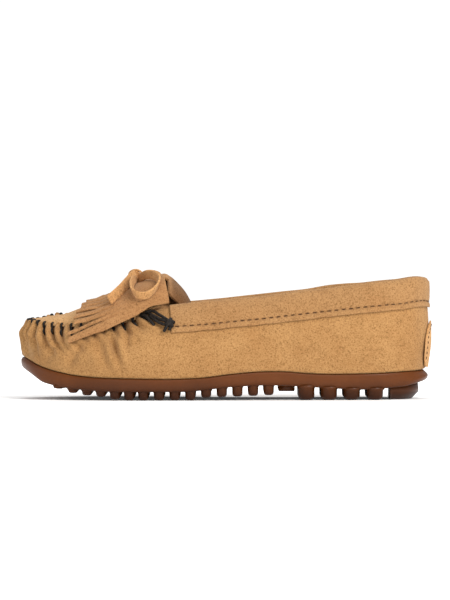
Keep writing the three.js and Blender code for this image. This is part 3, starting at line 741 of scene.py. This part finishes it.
def make_sole():
    """The cup sole with its studs, waist bar and heel block."""
    rings = []
    for offset, height, swell, tuck in sole_levels():
        points = ring(offset, height, 360)
        heel = np.clip((points[:, 0] - 98) / 22, 0, 1) ** 1.5
        toe = np.clip((-112 - points[:, 0]) / 12, 0, 1)
        points[:, 0] += swell * heel + tuck * toe
        rings.append(points)
    parts = [stack(rings), waist_bar(), heel_block()]
    rows = [-100 + 8.5 * i for i in range(7)] + [-49 + 9.45 * i for i in range(1, 9)]
    for x in rows:
        parts += stud_row(x, STUD_RADIUS, float(peg_bottom(x)), STUD_PITCH)
    for x in (49.4, 63, 76.9, 90.9):
        parts += stud_row(x, HEEL_STUD_RADIUS, 0.0, HEEL_STUD_PITCH)
    points, faces = joined(parts)
    new_object("rubber_sole", points, faces, RUBBER, "shoe", ["outsole"])


# ---- upper

def soft_wave(points):
    """Gentle unevenness that the upper and everything sewn to it share."""
    return smooth_noise(points, 26, 1) * 0.8 + smooth_noise(points, 11, 2) * 0.25


def on_upper(s, z, lift):
    """Points off the upper's surface, at a height, waving with it."""
    v = wall_level(s, z)
    smooth = wall(s, v)
    return smooth + wall_normal(s, v) * (lift + soft_wave(smooth))[..., None]


def seam_stitches():
    """Stations of the whip stitches, evenly spaced along the seam round the toe."""
    s = np.linspace(station_at(-49.5, False) - 1, station_at(-49.5, True), 2000)
    line = off_outline(s, -seam_inset(s), top_height(s))
    run = distances(line)
    count = round(run[-1] / STITCH_PITCH)
    return np.interp(np.linspace(0, run[-1], count + 1), run, s)


STITCHES = seam_stitches()
PUCKER = random.Random(5)
toe_share = profile([(-124, 1), (-108, 0.9), (-96, 0.55), (-84, 0.35), (-50, 0.3)])
stitch_lean = profile([(-121, 0.3), (-114, 0.95), (-109, 1.0), (-104, 0.85), (-98, 0.9), (-86, 0.75),
                       (-62, 0.75), (-50, 1.25)])


def pucker_sizes(s):
    """Reach down, depth and lean of the pleat at a stitch, and how far the stitch comes down."""
    x = float(station(s)[0][0])
    share = float(toe_share(x))
    side = 1 if s > 0 else -1
    reach = PUCKER.uniform(5, 8) + 7 * share
    depth = PUCKER.uniform(1.1, 1.9) + 2.6 * share
    lean = side * (float(stitch_lean(x)) + PUCKER.uniform(-0.15, 0.15))
    return reach, depth, lean, PUCKER.uniform(1.3, 3.5) + 0.4 * share


PLEATS = [pucker_sizes(s) for s in STITCHES]


def bell(distance, width):
    """A soft bump: 1 at no distance, falling off over the width."""
    return np.exp(-(distance / width) ** 2)


def pleats(s, down):
    """How far the gathered suede stands in or out, by station and distance below the seam."""
    where = (np.mod(s + 0.5, 1) - 0.5) * OUTLINE_LENGTH
    centres = STITCHES * OUTLINE_LENGTH
    out = np.zeros_like(where)
    for k, centre in enumerate(centres):
        reach, depth, lean, _ = PLEATS[k]
        across = where - centre - lean * down
        out -= depth * bell(down, reach) * bell(across, 1.15 + 0.09 * down)
        if k + 1 < len(centres):
            middle = (centre + centres[k + 1]) / 2
            across = where - middle - (lean + PLEATS[k + 1][2]) / 2 * down
            out += 0.45 * depth * bell(down, 0.8 * reach) * bell(across, 2.0)
    return out


# Folds in the sides: x at the top, lean, half width, depth, and how far below the edge they start and end.
FOLDS = [(-69.5, 0.28, 1.8, 3.0, 3, 24), (-59.5, 0.10, 1.6, 1.5, 3, 15), (-101, -0.55, 2.4, 1.0, 8, 22),
         (-86, -0.55, 2.8, 1.3, 8, 24), (-77, 0.35, 2.6, 1.3, 10, 26), (-116, -0.3, 2.2, 1.0, 10, 22)]


def wall_detail(s, v, points):
    """Unevenness of the soft upper, along its normal: pleats, folds under the flap and gentle waves."""
    x = points[..., 0]
    down = (1 - v) * (top_height(s) - rim_top(x) - TURN_OUT)
    depth = pleats(s, down)
    for centre, lean, width, deep, high, low in FOLDS:
        across = x - centre - lean * (down - high)
        reach = bell(down - (high + low) / 2, (low - high) / 2)
        depth -= deep * bell(across, width) * reach
        depth += 0.5 * deep * bell(np.abs(across) - 2.1 * width, 1.2 * width) * reach
    return depth * np.clip(v / 0.15, 0, 1) + soft_wave(points) * np.clip(v / 0.12, 0, 1)


def make_upper():
    """The wrap: out of the sole's rim, up the foot, gathered round the toe and turned in at the seam."""
    count = 900
    s = np.arange(count) / count
    place, out, _ = station(s)
    x = place[:, 0]
    tuck = -RIM_WALL - 0.4
    rows = [off_outline(s, tuck, sole_bottom(x) + WEB + 0.4),
            off_outline(s, tuck, rim_top(x) - 0.6),
            off_outline(s, tuck + 0.5, rim_top(x) + 0.25),
            off_outline(s, -1.5, rim_top(x) + 0.35),
            off_outline(s, foot_bulge(x) - 0.5, rim_top(x) + 0.5)]
    for v in np.concatenate([np.linspace(0, 0.1, 5), np.linspace(0.13, 0.97, 48), [0.985, 1.0]]):
        smooth = wall(s, v)
        rows.append(smooth + wall_normal(s, v) * wall_detail(s, v, smooth)[:, None])
    seam = rows[-1]
    toe = np.clip((-45 - x) / 8, 0, 1)
    ridge = np.clip(pleats(s, np.zeros(count)), -1.2, 1.2)
    inward = np.concatenate([-out, np.zeros((count, 1))], axis=1)
    up = np.array([0, 0, 1.0])
    for step_in, step_up in [(0.35, 0.45), (1.0, 0.7), (1.9, 0.6)]:
        lift = (step_up * (1 + 0.5 * ridge) * toe)[:, None]
        rows.append(seam + inward * (step_in * toe)[:, None] + up * lift)
    sheet_piece("suede_upper", np.stack(rows), SUEDE, UPPER_SUEDE, "upper_wrap", wrap=True, edge=0,
                even=False)


def plug_edge(s):
    """The plug's edge, lying on the upper's turned-in seam."""
    return off_outline(s, -0.1 - seam_inset(s), top_height(s) + 1.35)


def make_plug():
    """The apron: a domed patch whose edge is drawn down at each stitch."""
    half, rows, corner = 60, 150, 0.055
    rear_lateral = station_at(-38, True)
    rear_medial = station_at(-38, False) - 1
    a = np.linspace(-1, 1, 2 * half + 1)
    across = ((a + 1) / 2)[:, None]
    span = lambda left, right: plug_edge(left) * (1 - across) + plug_edge(right) * across
    bow = plug_edge(-corner * a) - span(corner, -corner)
    lines = []
    for r in range(rows + 1):
        t = r / rows
        line = span(corner + (rear_lateral - corner) * t, -corner + (rear_medial + corner) * t)
        line = line + bow * (1 - t) ** 2
        crown = np.clip(1 - a**2, 0, 1) ** 0.7 * (1 - max(0, 1 - t * 9 / 4) ** 2)
        line[:, 2] += np.maximum(0, plug_crest(line[:, 0]) - line[:, 2]) * crown
        lines.append(line)
    grid = np.stack(lines)[:, ::-1]
    for point in plug_edge(STITCHES):
        distance = np.linalg.norm(grid[..., :2] - point[:2], axis=-1)
        grid[..., 2] += 0.22 * bell(distance - 3.6, 1.6) - 0.8 * bell(distance, 1.7)
    rim = np.clip(1 - np.abs(a) ** 6, 0.1, 1)
    grid[..., 2] += smooth_noise(grid, 20, 3) * 0.5 * rim
    sheet_piece("suede_plug", grid, SUEDE - 0.1, PLUG_SUEDE, "plug", edge=0.45)


def collar_outside(s, drop, ripple):
    """One row of the collar band's outer face, at a drop below the top edge."""
    run = s * OUTLINE_LENGTH
    ends = np.clip((run - run[0]) / 9, 0, 1) * np.clip((run[-1] - run) / 9, 0, 1)
    rise = np.clip((COLLAR_SEAM - drop) / (COLLAR_SEAM + 3), 0, 1)
    puff = math.sin(math.pi * rise) ** 0.7 * (0.35 + 0.65 * ends)
    lip = 0.3 * bell(drop - 14.2, 0.9)
    stitched = bell(drop - COLLAR_SEAM, 0.5) * (0.5 + 0.12 * np.cos(2 * math.pi * run / COLLAR_PITCH))
    return on_upper(s, top_height(s) - drop - ripple * (drop > 13.4), COLLAR_LIFT + puff + lip - stitched)


def make_collar():
    """The folded band round the topline: stitched near its lower edge, rolled over the top."""
    s = np.linspace(station_at(COLLAR_FRONT, True), station_at(COLLAR_FRONT + 2.5, False), 620)
    uneven = wall(s, 0.7)
    ripple = 0.3 * smooth_noise(uneven, 8, 4) + 0.2 * smooth_noise(uneven, 3, 5)
    near_seam = [15.7, 15.2, 14.6, 13.8, 13.2, 12.8, 12.5, 12.2, 11.9, 11.5, 10.9, 10, 8.8]
    above_seam = [7.5, 6, 4.5, 3, 1.5, 0]
    rows = [collar_outside(s, drop, ripple) for drop in near_seam + above_seam]
    crown = wall(s, 1)
    normal = wall_normal(s, 1)
    wave = soft_wave(crown)
    rise = unit(crown - wall(s, 0.97))
    half = (COLLAR_LIFT + COLLAR_INNER) / 2
    for angle in np.radians(range(20, 161, 20)):
        outwards = half - COLLAR_INNER + half * math.cos(angle) + wave
        rows.append(crown + normal * outwards[:, None] + rise * COLLAR_ROLL * math.sin(angle))
    for drop in above_seam[::-1] + [9]:
        lift = -COLLAR_INNER - 0.25 * math.sin(math.pi * drop / 9)
        rows.append(on_upper(s, top_height(s) - drop, lift))
    sheet_piece("suede_collar", np.stack(rows), 1.1, COLLAR_SUEDE, "collar_band")


def dashes(points, normals, pitch, length, proud):
    """Running stitches along a line of points with outward normals: each dips at its ends."""
    run = distances(points)
    at = lambda table, where: np.stack([np.interp(where, run, table[:, i]) for i in range(3)], axis=-1)
    dip = np.array([-0.55, -0.08, 0.1, 0.14, 0.1, -0.08, -0.55]) + proud
    radii = THREAD_RADIUS * np.array([0.7, 0.95, 1, 1.05, 1, 0.95, 0.7])
    parts = []
    for start in np.arange(pitch * 0.3, run[-1] - length, pitch):
        where = start + np.linspace(0, length, 7)
        path = at(points, where) + unit(at(normals, where)) * dip[:, None]
        parts.append(tube_points(path, radii, 8))
    return joined(parts)


def make_collar_thread():
    """The running stitch near the collar's lower edge."""
    s = np.linspace(station_at(COLLAR_FRONT + 1.2, True), station_at(COLLAR_FRONT + 3.7, False), 500)
    z = top_height(s) - COLLAR_SEAM
    line = on_upper(s, z, COLLAR_LIFT - 0.25)
    points, faces = dashes(line, wall_normal(s, wall_level(s, z)), COLLAR_PITCH, 2.7, 0.08)
    new_object("collar_stitches", points, faces, THREAD, "shoe", ["collar_thread"])


def heel_grid(span, foot, top, lift, columns=56, levels=34):
    """Points on the upper round the heel, between a foot and a top height given by share of the span."""
    a = np.linspace(-1, 1, columns + 1)
    s = 0.5 + span * a
    low = foot(a, station(s)[0][:, 0])
    high = top(a)
    return np.stack([on_upper(s, low + (high - low) * (r / levels), lift) for r in range(levels + 1)])


def patch_foot(a, x):
    return rim_top(x) + TURN_OUT + 0.3 + 8 * np.abs(a) ** 6


def patch_top(a):
    return 31.5 + 16 * (1 - np.abs(a) ** 1.6) ** 0.75


def make_heel_patch():
    """The leaf-shaped stay over the back seam, with its row of stitches."""
    grid = heel_grid(PATCH_SPAN, patch_foot, patch_top, PATCH_LIFT)
    sheet_piece("heel_patch_leather", grid, 1.25, PATCH_SUEDE, "heel_patch", edge=0.35)
    angle = np.linspace(0, math.pi, 90)
    a = -0.8 * np.cos(angle)
    s = 0.5 + PATCH_SPAN * a
    low = patch_foot(a, station(s)[0][:, 0]) + 2
    z = low + (patch_top(a) - 2.2 - low) * np.minimum(1, 1.6 * np.sin(angle))
    line = on_upper(s, z, PATCH_LIFT + 0.05)
    points, faces = dashes(line, wall_normal(s, wall_level(s, z)), 3.2, 2.0, 0.05)
    new_object("heel_patch_stitches", points, faces, THREAD, "shoe", ["heel_patch_thread"])


# ---- inside

def bed_top(x):
    return sole_bottom(x) + WEB + 3 * LAYER_GAP + BOARD_THICK + FOAM_THICK + SOCK_THICK


def bed_stack(base, edge):
    """A layer of the footbed. Its edge goes up from its underside in (in from the bed's edge, up) steps."""
    level = lambda up: (lambda x: sole_bottom(x) + WEB + base + up)
    return stack([ring(-BED_INSET - inside, level(up), 240) for inside, up in edge])


def make_bed():
    """The foam and the leather sock that covers it, both with soft rounded edges."""
    base = 2 * LAYER_GAP + BOARD_THICK
    points, faces = bed_stack(base, [(0.8, 0), (0.2, 0.4), (0, 1.4), (0.1, 2.8), (0.7, 3.6),
                                     (2, FOAM_THICK - 0.05), (9, FOAM_THICK)])
    cushion = new_object("foam_insole", points, faces, FOAM, "shoe", ["foam_cushion"])
    base += LAYER_GAP + FOAM_THICK
    points, faces = bed_stack(base, [(0.5, 0), (0, 0.2), (0, 0.75), (0.35, SOCK_THICK), (3, SOCK_THICK)])
    new_object("leather_sock", points, faces, LINING, "shoe", ["sock_liner"])


def make_heel_lining():
    """The lining inside the heel, from the footbed up under the collar's inner side."""
    span = 7 / 60
    foot = lambda a, x: bed_top(x) + 0.15
    top = lambda a: 57 - 8 * a * a
    inside = -SUEDE - 1.9
    grid = heel_grid(span, foot, top, inside, 90, 40)
    sheet_piece("heel_lining_leather", grid, 0.8, LINING, "heel_lining", edge=0.2)


# ---- flap and fringe

FLAP = 1.4  # thickness of the flap and the tongue
STRIP_COLUMNS = 5  # columns of faces in one strip
FOLD_ROW = 16  # the row where the kilty folds over
FOLD_HELD = 0.33  # beyond this share of the lateral half, the fold is slit open
NARROW = 0.70  # share of the arch that the part behind the fold takes up
SLITS_AT_ROOT = [1, 0.87, 0.79, 0.665, 0.545, 0.43, 0.32, 0.212, 0.106, 0]
SLITS_AT_TIP = [1, 0.943, 0.866, 0.70, 0.575, 0.455, 0.34, 0.225, 0.112, 0]
WIDE_SLIT = SLITS_AT_TIP[2]  # the slit that opens wider at its tip, by WIDER
WIDER = 0.075
TIP_CREST = (-82.5, 59.4)
edge_lateral = profile([(-96, 38.6), (-82, 40.6), (-73.5, 39.6), (-58, 37.5), (-45, 35.5), (-38, 34),
                        (-33, 32.5)])
edge_medial = profile([(-96, 43.8), (-82, 44.7), (-73.5, 42.8), (-58, 38.5), (-45, 36), (-38, 34.5),
                       (-33, 33)])
edge_height = profile([(-96, 34.2), (-82, 38.4), (-73.5, 41.5), (-63.4, 46.4), (-58, 48.8), (-49, 53.4),
                       (-43, 57), (-38.7, 58.9), (-33, 58.4)])


def arch(a, crest, edge):
    """An arch over the instep: crest is (x, z), edge is (x, lateral, medial, z)."""
    a = np.asarray(a, float)
    angle = math.pi / 2 * a
    wide = np.where(a < 0, edge[1], edge[2])
    x = crest[0] + (edge[0] - crest[0]) * a * a
    z = edge[3] + (crest[1] - edge[3]) * np.maximum(0, np.cos(angle)) ** 0.75
    return np.stack([x, wide * np.sin(angle), z], axis=-1)


def edge_at(x):
    """The flap's edge at x, as an arch's edge."""
    return (x, float(edge_lateral(x)), float(edge_medial(x)), float(edge_height(x)))


def between_rows(table, at):
    """Rows of a table at fractional row numbers, along smooth curves."""
    return np.stack([hermite(np.arange(len(table)), column, at) for column in table.T], axis=-1)


def flap_arches():
    """Crest and edge of each arch, from behind the fold to the fringe's roots."""
    held = lambda x, wide, z: (x, wide, wide, z)
    stops = [
        ((-20.3, 58.7), held(-20.3, 22, 38.6)), ((-24, 65.2), held(-24, 25, 41)),
        ((-28.5, 70.4), held(-28.5, 27.5, 43.6)), ((-33, 74.5), held(-32.6, 30.5, 48.7)),
        ((-36.9, 76.2), edge_at(-33.6)), ((-45, 73.6), edge_at(-43)), ((-55, 69.8), edge_at(-54)),
        ((-65, 66.2), edge_at(-64.5)), ((FRINGE_ROOT, 63.2), edge_at(FRINGE_ROOT)),
    ]
    return np.array([[*crest, *edge] for crest, edge in stops])


def columns_across(slits):
    """Shares of the arch across the flap, lateral to medial, evenly filled between the slits."""
    bounds = [-v for v in slits[:-1]] + [0] + slits[-2::-1]
    steps = np.linspace(0, 1, STRIP_COLUMNS, endpoint=False)
    columns = [low + (high - low) * t for low, high in zip(bounds, bounds[1:]) for t in steps]
    return np.array(columns + [bounds[-1]])


def kilty_grid(root):
    """Points of the kilty from behind its fold to the fringe's roots, with ripples along its normal."""
    at = np.concatenate([np.linspace(0, 4, FOLD_ROW + 1), np.linspace(4, 8, 33)[1:]])
    grid = np.stack([arch(root, row[:2], row[2:]) for row in between_rows(flap_arches(), at)])
    bend = np.linspace(0, 1, len(grid))[:, None]
    wave = smooth_noise(grid, 17, 6) * 0.55 + 0.5 * (np.abs(root) ** 14)[None] * np.sin(9 * bend)
    wave[:, ::STRIP_COLUMNS] -= 0.9 * np.clip((at[:, None] - 6.2) / 1.8, 0, 1)
    normals = unit(np.cross(np.gradient(grid, axis=0), np.gradient(grid, axis=1)))
    normals *= np.sign(normals[..., 2:3] + 1e-9)
    return grid + normals * wave[..., None]


def fringe_strip(number, root, low, high, draw):
    """Rows of points from a strip's root to its tip, which lies between two shares of the arch."""
    if low == -WIDE_SLIT:
        low += WIDER
    if high == WIDE_SLIT:
        high -= WIDER
    gap = 0.009
    a = np.linspace(low + gap * (low > -1), high - gap * (high < 1), len(root))
    tip = arch(a, TIP_CREST, edge_at(-95.5))
    tip[:, 0] = TIP_CREST[0] - 11.8 * np.abs(a) ** 1.2 + draw.uniform(-1.4, 1.2)
    lift = draw.uniform(0.0, 0.9)
    twist = draw.uniform(-0.5, 0.5)
    yaw = draw.uniform(-0.7, 0.7)
    side = np.linspace(-1, 1, len(root))
    up = unit(np.array([-0.25, tip[:, 1].mean() / 30, 1.0]))
    lines = []
    for t in np.linspace(0, 1, 13)[1:]:
        line = root + (tip - root) * t
        line = line + (line.mean(axis=0) - line) * 0.035 * min(1, t / 0.12)
        sag = lift * t**2 + 0.35 * math.sin(t * 5 + number)
        line = line + up * (sag + 1.2 * twist * t * side + 0.5 * (1 - side**2) * t)[:, None]
        line[:, 1] += yaw * t**1.5
        lines.append(line)
    return np.stack(lines)


def make_kilty():
    """The kilty: one suede piece, folded forward over the instep and cut into strips at its front."""
    root = columns_across(SLITS_AT_ROOT)
    tips = columns_across(SLITS_AT_TIP)

    def keep(row, column):
        """All of the flap, and behind the fold a narrower part, joined to it on one side of a slit."""
        reach = max(abs(root[column]), abs(root[column + 1]))
        joined_here = row < FOLD_ROW - 3 or root[column + 1] > -FOLD_HELD
        return row >= FOLD_ROW or (reach <= NARROW and joined_here)

    grid = kilty_grid(root)
    ids = np.arange(grid.size // 3).reshape(grid.shape[:2])
    faces = grid_faces(*ids.shape, False, keep)
    points = [grid.reshape(-1, 3)]
    count = ids.size
    draw = random.Random(12)
    for number in range((len(root) - 1) // STRIP_COLUMNS):
        start = number * STRIP_COLUMNS
        columns = slice(start, start + STRIP_COLUMNS + 1)
        strip = fringe_strip(number, grid[-1, columns], tips[start], tips[start + STRIP_COLUMNS], draw)
        strip_ids = count + np.arange(strip.size // 3).reshape(strip.shape[:2])
        both = np.vstack([ids[-1:, columns], strip_ids])
        faces += [tuple(both.flat[k] for k in face) for face in grid_faces(*both.shape, False)]
        points.append(strip.reshape(-1, 3))
        count += strip_ids.size
    piece = new_object("kilty_leather", np.concatenate(points), faces, FLAP_SUEDE, None,
                       ["kilty_flap", "kilty_fringe"])
    thicken(piece, FLAP)
    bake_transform(piece)


def make_tongue():
    """The tongue: a vaulted sheet under the flap. Each stop is x, crest height, edge height, half width."""
    stops = np.array([(-43, 61.8, 54, 24.5), (-37.5, 63.4, 54.5, 25), (-31, 62, 53.5, 23.5),
                      (-25, 58.6, 52, 20), (-20, 55.4, 50.8, 15.2)])
    a = np.linspace(1, -1, 33)
    rows = between_rows(stops, np.linspace(0, len(stops) - 1, 28))
    grid = np.stack([np.stack([np.full(33, x), half * a, edge + (crest - edge) * (1 - a * a)], axis=-1)
                     for x, crest, edge, half in rows])
    sheet_piece("tongue_leather", grid, FLAP, FLAP_SUEDE, "tongue", body="tongue")


# ---- cord and lace

def stitch_path(s, reach, lean):
    """A whip stitch: out of the plug, over the seam, down the gathered upper and in again."""
    where = lambda down: s + lean * (down - 1) / OUTLINE_LENGTH
    edge = float(-seam_inset(s))
    top = float(top_height(s))
    over = [(-2.2, -2.7, -0.2), (-1.9, -2.4, 1.4), (-1.3, -1.8, 1.95), (-0.7, -0.9, 2.0), (0.0, 0.0, 1.8)]
    points = [off_outline(where(down), np.array(edge + out), top + rise) for down, out, rise in over]
    for share, lift in ((0.25, 0.75), (0.5, 0.75), (0.75, 0.75), (0.92, 0.3), (1.0, -1.2)):
        place = where(reach * share)
        v = float(wall_level(place, float(top_height(place)) - reach * share))
        smooth = wall(place, v)
        depth = float(wall_detail(np.array([place]), np.array([v]), smooth[None])[0])
        points.append(smooth + wall_normal(place, v) * (depth + lift))
    return curve_through(np.array(points), 26)


def make_plug_cord():
    """The waxed cord: whip stitches round the apron, and a knot with its ends at each rear end."""
    parts = []
    for k, s in enumerate(STITCHES):
        _, _, lean, reach = PLEATS[k]
        path = stitch_path(s, reach, lean)
        slim = 1 - 0.22 * bell(s * OUTLINE_LENGTH, 16)
        wobble = slim * (1 + 0.06 * np.sin(np.linspace(0, 9, len(path)) + k))
        parts.append(tube_points(path, CORD_RADIUS * wobble, 12, 0.72))
    points, faces = joined(parts + knot_parts(True) + knot_parts(False))
    new_object("waxed_whip_stitches", points, faces, CORD, "shoe", ["plug_cord"])


def knot_parts(lateral):
    """An overhand knot: turned strands in a tight lump, and the strands that run into it."""
    spot = lambda x, z, lift: on_upper(station_at(x, lateral), z, lift)
    centre = spot(KNOT_X, 45.2, 3.6)
    normal = wall_normal(station_at(KNOT_X, lateral), 0.8)
    along = unit(spot(-30, 45.6, 0) - spot(-40, 45.6, 0))
    up = np.cross(along, normal)
    up = up * np.sign(up[2])
    parts = []
    angles = np.linspace(0, 2 * math.pi, 40)[:, None]
    for tilt, size, high in [(0.2, 2.2, 0.0), (1.2, 1.9, 0.6), (2.3, 2.1, -0.5), (2.9, 1.5, 0.9)]:
        first = along * math.cos(tilt) + up * math.sin(tilt)
        turn = first * np.cos(angles) * size + normal * np.sin(angles) * 1.3
        parts.append(tube_points(centre + up * high + turn, np.full(len(angles), 1.15), 10))
    routes = [
        [(-50.4, 51.6, 1.5), (-47.5, 50.0, 1.5), (-44.8, 47.6, 1.2), (-42.8, 45.9, 0.5), (-42.2, 45.4, -1)],
        [(-47.6, 53.8, 1.2), (-43.5, 52.4, 2.0), (-39, 50.4, 2.4), (-35.8, 48.2, 3.2), (-33.6, 46.6, 3.8)],
        [(-46.0, 51.8, 1.2), (-42.0, 49.8, 1.9), (-38.0, 47.7, 2.4), (-34.0, 46.0, 3.6)],
        [(-44.6, 50.0, 1.0), (-40.9, 47.4, 1.7), (-37.2, 45.2, 2.3), (-33.6, 44.4, 3.4)],
        [(-33.8, 44.8, 3.6), (-35.4, 42.7, 3.1), (-36.6, 40.8, 2.3)],
        [(-33.2, 45.2, 3.8), (-32.6, 43.4, 3.4), (-33.4, 41.6, 2.9)],
    ]
    for route in routes:
        path = curve_through(np.array([spot(*stop) for stop in route]), 20)
        parts.append(tube_points(path, np.linspace(1.02, 0.9, 20) * CORD_RADIUS, 10))
    return parts


LACE_OUTLINE = np.array([
    (-1, 0), (-0.97, 0.6), (-0.86, 0.93), (-0.5, 1), (0, 1.04), (0.5, 1), (0.86, 0.93), (0.97, 0.6),
    (1, 0), (0.97, -0.6), (0.86, -0.93), (0.5, -1), (0, -0.96), (-0.5, -1), (-0.86, -0.93), (-0.97, -0.6),
])


def lace(path, wide, width, thick):
    """A flat lace with rounded edges: each path point has its own width direction."""
    tangents = unit(np.gradient(path, axis=0))
    wide = unit(wide - tangents * np.sum(wide * tangents, axis=1)[:, None])
    deep = np.cross(tangents, wide)
    points = (path[:, None] + wide[:, None] * LACE_OUTLINE[:, :1] * width / 2
              + deep[:, None] * LACE_OUTLINE[:, 1:] * thick / 2)
    return points.reshape(-1, 3), closed_faces(len(path), len(LACE_OUTLINE))


def bow_side(side):
    """A loop and a tail: path points, then the direction of the lace's width at each."""
    loop = [(-53.6, 0, 73.0, 0, 0, 1), (-54.6, -8, 72.8, -.2, -.2, 1), (-55.6, -18, 72.0, -.3, -.3, .9),
            (-56.2, -28, 69.0, -.35, -.4, .85), (-55.0, -34.6, 65.4, -.3, -.5, .8),
            (-51.8, -37.6, 63.4, -.1, -.55, .8), (-47.5, -38.3, 63.3, .1, -.55, .8),
            (-43.4, -37, 65.8, .25, -.5, .8), (-40.4, -33, 69.8, .3, -.4, .85),
            (-40.2, -27, 73.4, .25, -.3, .9), (-43.4, -19, 75.3, .15, -.25, .95),
            (-48, -11, 75.4, 0, -.2, 1), (-51.6, -4, 73.5, 0, 0, 1), (-54.5, 0, 72.6, 0, 0, 1)]
    tail = [(-52.6, 0.5, 75.8, -.55, -.1, .8), (-54.4, -3.5, 75.4, -.55, -.1, .8),
            (-58.2, -11.5, 71.7, -.55, -.15, .8), (-62.5, -23, 66.9, -.6, -.2, .8),
            (-66.2, -28.5, 63.5, -.55, -.25, .8), (-69.6, -33.5, 60.4, -.5, -.3, .8)]
    parts = []
    for stops, count, width in ((loop, 130, LOOP_WIDTH), (tail, 60, TAIL_WIDTH)):
        table = np.array(stops, float) * np.array([1, side, 1, 1, np.sign(side), 1])
        fine = curve_through(table, count)
        parts.append(lace(fine[:, :3], fine[:, 3:], width, LACE_THICK))
    return parts


def make_bow():
    """The bow of one flat suede lace: loops and tails on both sides, and turns round its middle."""
    parts = bow_side(1) + bow_side(-MEDIAL_SPREAD)
    angles = np.linspace(0, 2 * math.pi, 49)
    for turn, width in ((1, 6.2), (0.62, 5.6), (0.25, 5.0)):
        path = np.stack([BOW_X + 4.0 * turn * np.cos(angles), 0.25 * np.sin(2 * angles),
                         BOW_Z + 3.1 * turn * np.sin(angles)], axis=-1)
        parts.append(lace(path, np.array([0.0, 1.0, 0.0]), width, 1.2))
    points, faces = joined(parts)
    new_object("bow_lace_leather", points, faces, LACE_SUEDE, "flap", ["bow_lace"])


make_sole()
make_upper()
make_plug()
make_collar()
make_collar_thread()
make_heel_patch()
make_bed()
make_heel_lining()
make_kilty()
make_tongue()
make_plug_cord()
make_bow()
for node in ("insole_board", "heel_counter"):
    for slot in bpy.data.objects[node].material_slots:
        slot.material = BOARD

bpy.context.view_layer.update()
